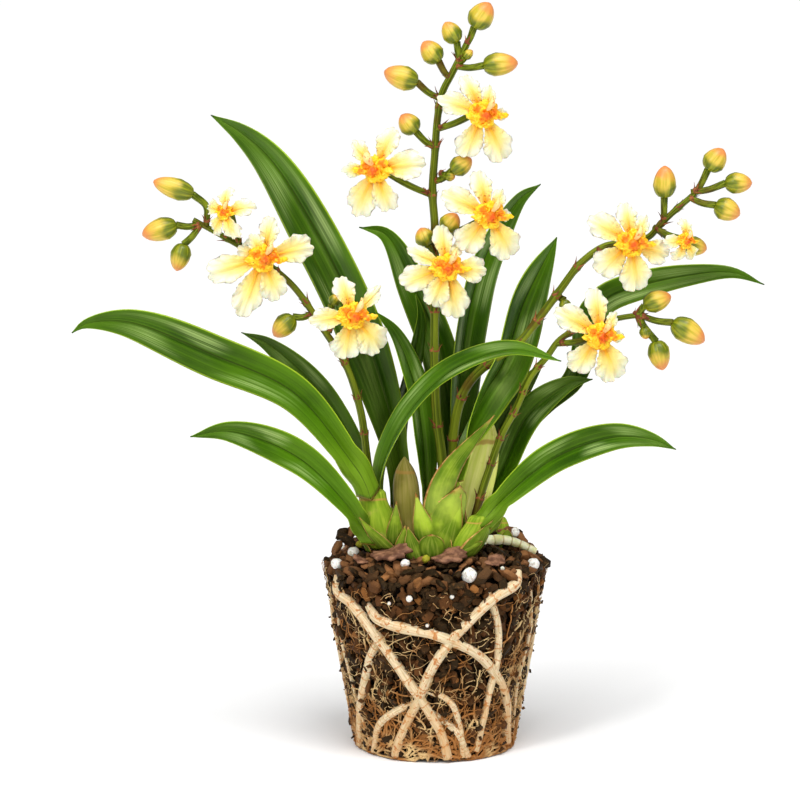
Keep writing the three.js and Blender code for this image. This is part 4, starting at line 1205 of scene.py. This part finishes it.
def callus(name, size, hand, seed):
    """The crumpled callus in the flower's throat: heaps pushed in and out by noise."""
    heaps = []
    for index, (middle, halves, lumpy) in enumerate(HEAPS):
        bpy.ops.mesh.primitive_ico_sphere_add(subdivisions=5 if index == 0 else 4, radius=1)
        heap = bpy.context.object
        tints = []
        for vertex in heap.data.vertices:
            spot = Vector(a * b for a, b in zip(vertex.co, halves))
            shift = Vector((seed * 7, index * 5, 0))
            ridge = 0.6 - abs(noise.noise(spot * 0.5 + shift)) * 2.6
            lump = ridge + 0.5 * noise.noise(spot * 1.2 + shift)
            spot = Vector(middle) + spot * (1 + lumpy * lump)
            tints.append(warmth(spot.x, spot.y) + 0.35 * noise.noise(spot * 0.8 + shift))
            vertex.co = Vector((spot.x * hand, spot.y, spot.z)) * size * MM
        tinted(heap.data, tints)
        heaps.append(heap)
    return closed_up(joined(name, heaps))


def turned_out(form):
    """From a flower lying on its back to its place on the plant."""
    yaw, tilt = (radians(angle) for angle in form["face"])
    at = Matrix.Translation(Vector(form["at"]) * MM)
    return at @ Matrix.Rotation(yaw, 4, "Z") @ Matrix.Rotation(pi / 2 - tilt, 4, "X")


petal_paint = Paint("petal_cream", Specular_IOR_Level=0.2, Subsurface_Weight=0.3, Subsurface_Scale=0.003)
up_petal, petal_edge = petal_paint.blade_map()
petal_veins = petal_paint.streaks(30, 1.3, 2)
petal_cloud = petal_paint.noise(150, 2)
# Painted shade: soft tan streaks that stand for the shade in the tepals' folds.
fold_shade = petal_paint.streaks(11, 1.1, 2)
fade = up_petal * 1.15 + petal_edge * 0.45 - petal_veins * 0.3 - petal_cloud * 0.4
streak = (1 - petal_edge.between(0.0, 0.22)) * (1 - up_petal.between(0.3, 0.75))
rim = petal_edge.between(0.9, 1.0) * petal_cloud.between(0.4, 0.6)
near_claw = up_petal.between(0.1, 0.18) * (1 - up_petal.between(0.34, 0.46))
specks = petal_paint.noise(1300, 0).between(0.68, 0.72) * near_claw * petal_paint.mark("speckled")
petal_colour = petal_paint.coats(
    rgb(248, 210, 112),
    (fade.between(0.2, 0.8), rgb(247, 226, 166)),
    (1 - fade.between(-0.15, 0.34), rgb(248, 168, 22)),
    (fade.between(0.5, 0.95), rgb(247, 235, 206)),
    (fold_shade.between(0.54, 0.76) * 0.3, rgb(241, 213, 146)),
    (streak * 0.6, rgb(248, 186, 46)),
    (rim * 0.4, rgb(248, 238, 212)),
    (specks * 0.85, rgb(186, 78, 26)),
)
petal_relief = petal_paint.bump(petal_veins + petal_cloud * 0.5, strength=0.45, depth=0.0008)
petal_paint.finish(Base_Color=petal_colour, Roughness=0.5 + petal_cloud * 0.15, Normal=petal_relief)

collar_paint = Paint(
    "collar_yellow", Specular_IOR_Level=0.3, Subsurface_Weight=0.12, Subsurface_Scale=0.002
)
_, up_collar = collar_paint.lengthwise()
collar_cloud = collar_paint.noise(330, 3)
collar_colour = collar_paint.coats(
    rgb(255, 220, 66),
    (collar_cloud.between(0.4, 0.62), rgb(250, 176, 20)),
    (up_collar.between(0.72, 0.95) * 0.8, rgb(240, 120, 14)),
)
collar_paint.finish(Base_Color=collar_colour, Roughness=0.45 + collar_cloud * 0.1)

crest_paint = Paint("crest_orange", Specular_IOR_Level=0.3, Subsurface_Weight=0.2, Subsurface_Scale=0.002)
redness = crest_paint.mark("tint") + crest_paint.noise(500, 3) * 0.9 - 0.45
crest_colour = crest_paint.coats(
    rgb(255, 222, 90),
    (redness.between(-0.3, 0.1), rgb(255, 200, 30)),
    (redness.between(0.3, 0.68), rgb(244, 130, 6)),
    (redness.between(0.78, 1.1), rgb(226, 92, 6)),
)
crest_paint.finish(Base_Color=crest_colour, Roughness=0.45)

column_paint = Paint("column_peach", Specular_IOR_Level=0.35)
freckles = column_paint.noise(900, 1).between(0.62, 0.67)
column_colour = column_paint.coats(
    rgb(253, 226, 160),
    (column_paint.noise(300, 2), rgb(246, 182, 96)),
    (freckles * 0.8, rgb(210, 84, 20)),
)
column_paint.finish(Base_Color=column_colour, Roughness=0.45)

for seed, (bloom_name, form) in enumerate(BLOOMS.items()):
    size = HALF_OPEN.get(bloom_name, 1)
    hand = -1 if bloom_name == MIRRORED else 1
    turned = turned_out(form)
    crest_name = bloom_name.replace("bloom", "crest")
    petals = []
    for index, (clock, length, width) in enumerate(form["tepals"]):
        layer = (1 if index % 2 else -1) * TEPAL_LAYER * size
        petal = tepal("petal", size, layer, index * TEPAL_PHASE, clock, length, width)
        upper = cos(radians(clock)) > 0.5
        petals.append(marked(petal, "speckled", float(upper)))
    for piece, paint, slot, *nodes in (
        (joined(bloom_name + "_petals", petals), petal_paint, "petal", bloom_name),
        (collar(bloom_name + "_collar", size), collar_paint, "petal"),
        (column(bloom_name + "_column", size, hand), column_paint, "petal"),
        (callus(crest_name + "_callus", size, hand, seed), crest_paint, "crest", crest_name),
    ):
        piece.data.transform(turned)
        dress(piece, paint, slot, *nodes)

# ---------------------------------------- bark ball
# The mix of bark chips that kept the shape of the pot. A dark lumpy core, near black for fine bark
# dust and for painted shade in the gaps, is covered by chips and crumbs, which are cubes with their
# corners knocked about, and its crown by worn nuggets as well, all of them bedded at every angle.

# The ball's radius at its base and its shoulder, and how high its shoulder and its crown are. Its
# middle stands a little to the left.
BALL = {"base": 34.5, "shoulder": 48, "height": 78, "crown": 89}
BALL_MIDDLE = -0.7
# The core's rings up the side and over the crown, and how far inside the ball they lie.
CORE_SIDES = 72
CORE_INSET = 5.4
CORE_HEIGHTS = (0, *(3 + 2.9 * step for step in range(26)))
CROWN_INSET = 2
CROWN_SHARES = (0.86, 0.7, 0.52, 0.34, 0.16)
# The core is flat up to this height and lumpy above it. Its lumps are in metres.
CORE_FLAT = 1.5
CORE_LUMP = 0.0011
CORE_LUMPS_A_METRE = 240
# How far inside the shoulder the core's crown and the chips on it begin.
CORE_RIM = 3
CROWN_RIM = 3.4
SIDE_CHIPS = 2900
TOP_CHIPS = 540
CRUMBS = 800
# How far the middles of side chips, crown chips and crumbs lie out of the ball.
CHIP_BED = (-4.8, -1.5)
CROWN_BED = (-1.8, 0.4)
CRUMB_BED = (-2.4, 0.7)
CHIP_KINDS = 6
CHIP_ANGLE = radians(38)
# Nuggets heaped on the crown behind the bulbs: place and length.
HEAPED = [(-38, -4, 89, 8), (-42, -7, 86.5, 6.5), (-36, 2, 91.5, 7), (-40, 0, 91, 5.5), (30, 0, 91, 8),
          (36, 3, 88, 6.5), (27, 4, 91.5, 6), (40, -1, 85, 5.5), (24, -1, 91, 6.5), (33, 6, 90, 6)]


def ball_radius(height):
    share = min(max(height, 0), BALL["height"]) / BALL["height"]
    return mixed(BALL["base"], BALL["shoulder"], share)


def crown_height(reach):
    return mixed(BALL["crown"], BALL["height"], min(reach / BALL["shoulder"], 1) ** 2.4)


def round_about(reach, turn, height, middle=0):
    """A place so far out from the middle, so far round from the front and so high."""
    return MM * Vector((middle + reach * sin(turn), -reach * cos(turn), height))


def on_ball(bearing, height, proud):
    return round_about(ball_radius(height) + proud, radians(bearing), height, BALL_MIDDLE)


def core(name):
    """The dark core that shows between the chips: fine bark dust, and painted shade in the gaps."""
    rings = []
    bearings = [360 * side / CORE_SIDES for side in range(CORE_SIDES)]
    for height in CORE_HEIGHTS:
        rings.append([on_ball(bearing, height, -CORE_INSET) for bearing in bearings])
    for share in CROWN_SHARES:
        reach = (BALL["shoulder"] - CORE_RIM) * share
        top = crown_height(reach) - CROWN_INSET
        rings.append([round_about(reach, turn, top) for turn in turns_of(CORE_SIDES)])
    heights = (0, BALL["crown"] - CROWN_INSET)
    foot, head = [[MM * Vector((0, 0, height))] * CORE_SIDES for height in heights]
    piece = skin(name, [foot, *rings, head])
    for vertex in piece.data.vertices:
        if vertex.co.z > CORE_FLAT * MM:
            vertex.co += vertex.normal * CORE_LUMP * noise.noise(vertex.co * CORE_LUMPS_A_METRE)
    return piece


def knocked(piece, seed, reach):
    """Knocks a cube's corners about by up to `reach` of its size."""
    knock = random.Random(seed)
    for vertex in piece.data.vertices:
        vertex.co += Vector([knock.uniform(-reach, reach) for _ in range(3)])
    return pattern_of(piece)


def chip_pattern(seed):
    """A bark chip: a cube divided once, so that its edges are knocked about too."""
    bpy.ops.mesh.primitive_cube_add(size=1)
    bpy.ops.object.mode_set(mode="EDIT")
    bpy.ops.mesh.subdivide(number_cuts=1, smoothness=0.6)
    bpy.ops.object.mode_set(mode="OBJECT")
    return knocked(bpy.context.object, seed, 0.13)


def crumb_pattern(seed):
    bpy.ops.mesh.primitive_cube_add(size=1)
    return knocked(bpy.context.object, seed, 0.25)


def worn_ball(subdivisions, radius, reach):
    """A ball with flats and hollows. `reach` is how far out it comes at a spot, as a share."""
    bpy.ops.mesh.primitive_ico_sphere_add(subdivisions=subdivisions, radius=radius)
    piece = bpy.context.object
    for vertex in piece.data.vertices:
        vertex.co *= reach(vertex.co)
    return pattern_of(piece)


def nugget_pattern(seed):
    """A worn nugget of bark."""
    shift = Vector((seed * 5, 0, 0))
    return worn_ball(2, 0.6, lambda spot: 1 + 0.45 * noise.noise(spot * 2.4 + shift))


def chip_at(draw, kind, middle, out, lengths, tilt):
    """A chip lying against the ball, spun at random and tipped by up to `tilt`."""
    long = mixed(*lengths, draw.random() ** 1.5)
    size = Vector((long, long * draw.uniform(0.42, 0.8), long * draw.uniform(0.32, 0.55)))
    spin = Matrix.Rotation(draw.uniform(0, 2 * pi), 4, "Z")
    tip = Matrix.Rotation(draw.uniform(-tilt, tilt), 4, "X")
    tip @= Matrix.Rotation(draw.uniform(-tilt, tilt), 4, "Y")
    where = Matrix.Translation(middle) @ facing(out) @ spin @ tip @ Matrix.Diagonal((*(size * MM), 1))
    return f"{kind}_{draw.randrange(CHIP_KINDS)}", where, draw.random()


def spiral(count):
    """Numbers and bearings that spread so many things evenly round the ball."""
    return ((index, degrees(index * GOLDEN_TURN)) for index in range(count))


def outwards(middle):
    """The level way out from the plant's axis."""
    return Vector((middle.x, middle.y, 0)).normalized()


def chip_places(draw):
    """Chips all over the sides."""
    for index, bearing in spiral(SIDE_CHIPS):
        height = mixed(2.8, BALL["height"] + 0.5, (index + draw.random()) / SIDE_CHIPS)
        bearing += draw.uniform(-2, 2)
        middle = on_ball(bearing, height, draw.uniform(*CHIP_BED))
        yield chip_at(draw, "chip", middle, outwards(middle), lengths=(1.9, 5.0), tilt=0.55)


def crown_places(draw):
    """Nuggets and chips over the crown from its middle to its rim, and the heaps behind."""
    for index in range(TOP_CHIPS):
        reach = (BALL["shoulder"] - CROWN_RIM) * sqrt((index + 0.5) / TOP_CHIPS)
        height = crown_height(reach) + draw.uniform(*CROWN_BED)
        middle = round_about(reach, index * GOLDEN_TURN, height)
        kind = "chip" if index % 3 == 0 else "nugget"
        yield chip_at(draw, kind, middle, UP, lengths=(2.8, 6.6), tilt=0.8)
    for x, y, z, long in HEAPED:
        middle = MM * Vector((x, y, z))
        yield chip_at(draw, "nugget", middle, UP, lengths=(long, long), tilt=0.9)


def crumb_places(draw):
    """Crumbs that stand out of the sides."""
    for index, bearing in spiral(CRUMBS):
        height = mixed(2, BALL["height"], (index + draw.random()) / CRUMBS)
        middle = on_ball(bearing, height, mixed(*CRUMB_BED, draw.random() ** 2))
        yield chip_at(draw, "crumb", middle, outwards(middle), lengths=(0.9, 2.2), tilt=1.2)


# Fine dust and painted shade: the core is near black so that the gaps between the chips read dark.
core_paint = Paint("bark_dust_and_shade", Specular_IOR_Level=0.15)
dust = core_paint.noise(420, 4)
core_paint.finish(
    Base_Color=core_paint.coats(rgb(8, 5, 2), (dust.between(0.35, 0.7), rgb(24, 14, 7))),
    Roughness=0.9,
    Normal=core_paint.bump(dust, strength=0.8, depth=0.001),
)
bark_paint = Paint("bark_chip", Specular_IOR_Level=0.4, Specular_Tint=rgb(255, 206, 150))
bark_tint = bark_paint.mark("tint")
grain = bark_paint.noise(800, 4)
_, _, bark_height = bark_paint.axes()
# Painted light: the chips on the crown are made lighter, where the light from above falls on them.
crown_painted_light = bark_height.between(0.075, 0.085) * bark_tint.between(0.25, 0.8)
bark_colour = bark_paint.coats(
    rgb(14, 8, 3),
    (bark_tint.between(0.3, 1.0), rgb(86, 50, 24)),
    (bark_tint.between(0.92, 0.98), rgb(132, 84, 40)),
    (crown_painted_light * 0.7, rgb(146, 100, 64)),
    (grain.between(0.52, 0.78) * 0.4, rgb(128, 88, 48)),
    (bark_paint.noise(140, 3).between(0.48, 0.7) * 0.6, rgb(22, 12, 5)),
)
bark_paint.finish(
    Base_Color=bark_colour,
    Roughness=0.5 + grain * 0.3,
    Normal=bark_paint.bump(grain, strength=0.6, depth=0.0006),
)
CHIP_PATTERNS = {"chip": chip_pattern, "nugget": nugget_pattern, "crumb": crumb_pattern}
CHIP_LAYERS = {"bark_chips": chip_places, "bark_crown": crown_places, "bark_crumbs": crumb_places}
chip_shapes = {}
for kind, pattern in CHIP_PATTERNS.items():
    chip_shapes |= {f"{kind}_{seed}": pattern(seed) for seed in range(CHIP_KINDS)}
dress(core("bark_core"), core_paint, "bark", "bark_mix")
draw = random.Random(41)
for name, places in CHIP_LAYERS.items():
    chips = strewn(name, chip_shapes, places(draw))
    picked(chips)
    bpy.ops.object.shade_smooth_by_angle(angle=CHIP_ANGLE)
    dress(chips, bark_paint, "bark")

# ---------------------------------------- perlite
# White grains of perlite on and among the bark, and a few broad reddish flakes lying on top. The
# grains are worn balls and the flakes bent discs, strewn in one piece each.

# Each grain's place, its size and how far it is yellowed.
PERLITE = [
    (13, -40, 81.8, 3.1, 0), (-13.4, -33, 85.2, 1.9, 0), (-42, -15, 81, 2.5, 0),
    (-35, -11, 85, 2.4, 0.1), (40.4, -17, 81.4, 2.5, 0), (-27.7, -10, 87.3, 2.1, 0.3),
    (-11.7, -45.2, 73, 1.3, 0.1), (5.9, -45.8, 74, 0.9, 0.1), (-4.2, -44.4, 61.5, 0.8, 0.1),
    (33, 0, 91.5, 2.1, 0), (-32.5, -8, 88, 1.6, 1), (-4.6, -31, 86.6, 1.7, 1), (32, 14, 87, 2.6, 0),
    (-4, 30, 87, 2.6, 0), (-24, 26, 86, 2.4, 0), (-20, -41, 70, 0.8, 0.1), (18, 32, 85, 1.8, 0),
    (-40, 10, 82, 1.6, 0), (27, -31, 82.5, 1.0, 0.2),
]
# Each flake's middle, its length and its turn.
FLAKES = [((-19.5, -27, 88.5), 8.6, -0.5), ((5, -31, 88), 7.4, 0.25), ((24, -29, 85.5), 5, 0.9),
          ((-32, -22, 84.5), 4.5, 2.0), ((-8, 30, 88), 8, 2.6), ((22, 28, 86), 7, 4.0)]
FLAKE_STEPS = ((0.02, 0.1), (0.55, 0.12), (0.97, 0.08), (1, 0), (0.97, -0.08), (0.02, -0.1))
FLAKE_SIDES = 30
FLAKE_TILT = 0.3


def grain_reach(spot):
    """A grain of perlite has broad hollows and fine ones."""
    return 1 + 0.16 * noise.noise(spot * 1.2) + 0.03 * noise.noise(spot * 5)


def flake_pattern():
    """A flat flake of bark: a disc with a ragged outline, thickened and bent."""

    def spot(turn, reach, height):
        ragged = 1 + 0.3 * noise.noise(Vector((cos(turn) * 1.9, sin(turn) * 1.9, 3)))
        ragged += 0.14 * sin(9 * turn)
        far = reach * ragged
        bend = 0.16 * sin(2.2 * far * cos(turn)) + 0.1 * far * sin(2 * turn)
        return Vector((far * cos(turn), 0.66 * far * sin(turn), height + bend))

    return pattern_of(skin("flake", thrown(FLAKE_STEPS, FLAKE_SIDES, spot)))


perlite_paint = Paint(
    "perlite_white", Specular_IOR_Level=0.3, Subsurface_Weight=0.1, Subsurface_Scale=0.002
)
pits = perlite_paint.noise(900, 3)
perlite_colour = perlite_paint.coats(
    rgb(186, 180, 168),
    (pits.between(0.3, 0.55), rgb(236, 233, 226)),
    (perlite_paint.mark("tint"), rgb(150, 146, 30)),
)
perlite_paint.finish(
    Base_Color=perlite_colour,
    Roughness=0.7,
    Normal=perlite_paint.bump(pits, strength=0.5, depth=0.0006),
)
flake_paint = Paint("bark_flake", Specular_IOR_Level=0.3)
flake_grain = flake_paint.noise(360, 4)
flake_paint.finish(
    Base_Color=flake_paint.coats(rgb(88, 54, 36), (flake_grain.between(0.35, 0.7), rgb(150, 106, 78))),
    Roughness=0.7,
    Normal=flake_paint.bump(flake_grain, strength=0.5, depth=0.0008),
)
grains = []
for x, y, z, size, yellowed in PERLITE:
    tipped = Matrix.Rotation(x, 4, "X") @ Matrix.Rotation(y, 4, "Z") @ Matrix.Scale(size * MM, 4)
    grains.append(("grain", Matrix.Translation(MM * Vector((x, y, z))) @ tipped, yellowed))
dress(strewn("perlite", {"grain": worn_ball(4, 1, grain_reach)}, grains), perlite_paint, "bark")
plates = []
for middle, size, turn in FLAKES:
    lie = Matrix.Rotation(turn, 4, "Z") @ Matrix.Rotation(FLAKE_TILT, 4, "X") @ Matrix.Scale(size * MM, 4)
    plates.append(("flake", Matrix.Translation(MM * Vector(middle)) @ lie, 0.5))
dress(strewn("bark_flakes", {"flake": flake_pattern()}, plates), flake_paint, "bark")

# ---------------------------------------- big roots
# Thick cream roots run over the ball where the pot's wall held them, and one pale root with brown
# rings lies on top. They wander a little in thickness and are marked with tan. Each run has its
# radius, and its bearings from the front and heights.
ROOT_RUNS = [
    (2.25, [(-66, 77), (-64, 71), (-49, 66), (-31, 51), (-11, 30), (3, 14), (9, 2)]),
    (2.2, [(50, 81), (46, 77), (30, 71), (3, 49), (-9, 31), (-24, 11), (-30, 2)]),
    (2.2, [(-41, 68), (-33, 63), (-20, 60), (0, 57), (22, 49), (37, 39), (50, 27), (63, 4)]),
    (1.9, [(-33, 55), (-42, 44), (-49, 33), (-58, 21), (-70, 2)]),
    (1.6, [(28, 77), (36, 60), (39, 45), (36, 31), (30, 4)]),
    (1.7, [(-12, 27), (-27, 22), (-40, 15), (-50, 2)]),
    (1.35, [(-9, 33), (8, 28), (15, 19), (20, 2)]),
    (1.6, [(-2, 22), (14, 14), (24, 2)]),
    (1.05, [(-86, 74), (-84, 52), (-86, 28), (-88, 3)]),
    (0.8, [(-74, 68), (-71, 50), (-66, 34), (-60, 18), (-52, 4)]),
    (1.05, [(80, 74), (83, 48), (80, 26), (86, 3)]),
    (0.8, [(66, 72), (70, 52), (64, 30), (72, 6)]),
    (1.5, [(88, 77), (104, 57), (92, 35), (106, 2)]),
    (1.8, [(126, 78), (110, 55), (130, 35), (146, 3)]),
    (1.9, [(150, 78), (176, 55), (160, 31), (180, 3)]),
    (1.8, [(214, 78), (190, 56), (212, 30), (204, 3)]),
    (1.9, [(236, 76), (222, 54), (238, 30), (230, 3)]),
    (1.5, [(258, 78), (274, 51), (252, 27), (266, 2)]),
]
SURFACE_ROOT = [(17, -9, 88), (24, -6, 89.4), (32, -4, 88.2), (42, -4, 84)]
SURFACE_GIRTH = (2.5, 1.5)
# How far the middles of the roots lie out of the ball, where they come up and later.
ROOT_START = -3.2
ROOT_BED = -1.2
ROOT_SIDES = 14
ROOT_ROWS = 70
SURFACE_RINGS = 7
SURFACE_SIDES = 16
SURFACE_ROWS = 84


def thick_root(name, width, places, seed):
    """A root comes out from under the chips, thin at first."""
    beds = [ROOT_START, *[ROOT_BED] * (len(places) - 1)]
    route = Route([on_ball(*place, bed) / MM for place, bed in zip(places, beds)])

    def radius(share, turn):
        knots = noise.noise(Vector((share * 9, seed * 7, cos(turn))))
        return width * (1.05 - 0.15 * share + 0.16 * knots) * mixed(0.7, 1, eased(share / 0.08)) * MM

    return tube(name, route, radius, ROOT_SIDES, ROOT_ROWS)


root_paint = Paint("root_cream", Specular_IOR_Level=0.3, Subsurface_Weight=0.08, Subsurface_Scale=0.003)
_, down_root = root_paint.lengthwise()
marks = root_paint.noise(480, 2)
fibres = root_paint.streaks(20, 14, 3)
ring_line = (down_root * 15 + marks * 0.5).fraction()
ring_line = (1 - ring_line.between(0.03, 0.17)) * root_paint.noise(160, 1).between(0.38, 0.5)
root_colour = root_paint.coats(
    rgb(198, 174, 132),
    (fibres.between(0.35, 0.65), rgb(228, 208, 172)),
    (down_root.between(0.5, 1) * 0.5, rgb(196, 148, 88)),
    (marks.between(0.58, 0.65) * 0.85, rgb(178, 104, 38)),
    (root_paint.noise(130, 3).between(0.53, 0.62) * 0.3, rgb(204, 150, 84)),
    (ring_line * 0.85, rgb(184, 116, 48)),
)
root_paint.finish(
    Base_Color=root_colour,
    Roughness=0.6 + marks * 0.15,
    Normal=root_paint.bump(fibres * 0.4 + marks, strength=0.25, depth=0.0004),
)
thick = [thick_root("root", *run, seed) for seed, run in enumerate(ROOT_RUNS)]
dress(joined("roots_thick", thick), root_paint, "root", "roots")


def surface_radius(share, turn):
    """The surface root is drawn in at each of its rings."""
    pinch = abs(sin(share * SURFACE_RINGS * pi)) ** 0.35
    return mixed(*SURFACE_GIRTH, share) * (0.86 + 0.16 * pinch) * MM


pale_paint = Paint("root_pale", Specular_IOR_Level=0.3, Subsurface_Weight=0.15, Subsurface_Scale=0.003)
_, along_pale = pale_paint.lengthwise()
ring_brown = abs((along_pale * SURFACE_RINGS).fraction() - 0.5).between(0.38, 0.47)
pale_colour = pale_paint.coats(
    rgb(238, 236, 200),
    (pale_paint.noise(260, 3).between(0.4, 0.65), rgb(212, 212, 146)),
    (ring_brown * 0.75, rgb(176, 150, 88)),
)
pale_paint.finish(Base_Color=pale_colour, Roughness=0.55)
lying = tube("surface_root_rings", Route(SURFACE_ROOT), surface_radius, SURFACE_SIDES, SURFACE_ROWS)
dress(lying, pale_paint, "surface_root", "surface_root")

# ---------------------------------------- rootlets
# A net of fine tan and white rootlets over the sides, threads that wander between them, longer
# roots that run down the ball, and a mat of looped roots at its foot. They are drawn as open curves
# with a round section.
ROOTLETS = 1800
FINE_ROOTS = 260
LONG_ROOTS = 150
MAT_ROOTS = 190
# Below this height a root's line turns up again.
ROOT_TURN = 1.6
# Headings on the ball: down it, and round it either way.
DOWN = -1.57
ROUND_IT = (0.0, 3.14)
# How much of its width a rootlet loses by its end.
ROOTLET_TAPER = 0.55
MAT_STEPS = 14
ROOTLET_TOP = 76
# The cosine of how far round the front reaches, and the height that long roots start below there.
FRONT = 0.72
FRONT_TOP = 42


def strands(name, runs, sides):
    """Curves through the runs' points, each with its own width, made a mesh."""
    bpy.ops.curve.primitive_bezier_curve_add()
    piece = bpy.context.object
    piece.name = name
    piece.data.splines.clear()
    piece.data.bevel_depth = MM
    piece.data.bevel_resolution = sides
    piece.data.use_fill_caps = True
    for points, width in runs:
        last = len(points) - 1
        line = piece.data.splines.new("POLY")
        line.points.add(last)
        line.points.foreach_set("co", [number for point in points for number in (*point, 1)])
        for index, point in enumerate(line.points):
            point.radius = width * (1 - ROOTLET_TAPER * index / last)
    bpy.ops.object.convert(target="MESH")
    bpy.ops.object.shade_smooth()
    return piece


def wander(draw, bearing, height, heading, steps, stride, curl, proud):
    """A line that creeps over the ball from a place, turning a little at every step."""
    points = []
    for _ in range(steps):
        lift = proud + draw.uniform(-0.5, 0.5)
        points.append(on_ball(bearing, min(max(height, 0.8), BALL["height"] + 1), lift))
        heading += draw.uniform(-curl, curl)
        if height < ROOT_TURN:
            heading = abs(heading)
        bearing += degrees(stride * cos(heading) / ball_radius(height))
        height += stride * sin(heading)
    return points


def rootlets(draw):
    """Short rootlets in patches, closer together low on the ball."""
    for index, bearing in spiral(ROOTLETS):
        height = mixed(3, ROOTLET_TOP, (index + 0.5) / ROOTLETS)
        heading = draw.uniform(0, 2 * pi)
        steps = draw.randint(3, 8)
        width = draw.uniform(0.1, 0.25)
        points = wander(draw, bearing, height, heading, steps, stride=0.9, curl=0.9, proud=-0.55)
        if noise.noise(points[0] * 90) > mixed(-0.4, 0.02, height / ROOTLET_TOP):
            yield points, width


def fine_roots(draw):
    """Long threads that wander over the chips at every slant."""
    for _, bearing in spiral(FINE_ROOTS):
        height = draw.uniform(8, 72)
        heading = draw.uniform(0, 2 * pi)
        steps = draw.randint(9, 20)
        width = draw.uniform(0.1, 0.17)
        points = wander(draw, bearing, height, heading, steps, stride=1.3, curl=0.5, proud=-0.45)
        yield points, width


def long_roots(draw):
    """Longer roots that creep down the ball."""
    for _, bearing in spiral(LONG_ROOTS):
        height = draw.uniform(30, 74)
        steps = draw.randint(14, 30)
        width = draw.uniform(0.2, 0.5)
        points = wander(draw, bearing, height, DOWN, steps, stride=2.2, curl=0.34, proud=-1.5)
        if cos(radians(bearing)) < FRONT or height < FRONT_TOP:
            yield points, width


def mat_roots(draw):
    """Looped roots round the ball's foot."""
    for _, bearing in spiral(MAT_ROOTS):
        heading = draw.choice(ROUND_IT) + draw.uniform(-0.7, 0.7)
        width = draw.uniform(0.3, 0.8)
        height = draw.uniform(1.2, 9)
        points = wander(draw, bearing, height, heading, MAT_STEPS, stride=2, curl=0.55, proud=-1)
        yield points, width


rootlet_paint = Paint("rootlet_tan", Specular_IOR_Level=0.3)
tan_patch = rootlet_paint.noise(75, 3)
_, _, rootlet_up = rootlet_paint.axes()
low_patch = 1 - rootlet_up.between(0.004, 0.045)
tanned = (tan_patch + low_patch * 0.08).between(0.4, 0.62)
rootlet_colour = rootlet_paint.coats(rgb(216, 184, 128), (tanned, rgb(160, 104, 46)))
rootlet_paint.finish(Base_Color=rootlet_colour, Roughness=0.6)
draw = random.Random(5)
for name, runs, sides in (
    ("rootlets", rootlets, 0),
    ("roots_fine", fine_roots, 0),
    ("roots_long", long_roots, 1),
    ("roots_mat", mat_roots, 1),
):
    dress(strands(name, runs(draw), sides), rootlet_paint, "root")

# ---------------------------------------- size
# The solid model's box and the dressed plant's box, side by side.
boxes = {"cad": CAD_BOX, "visual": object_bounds()}
{name: [list(corner) for corner in box] for name, box in boxes.items()}
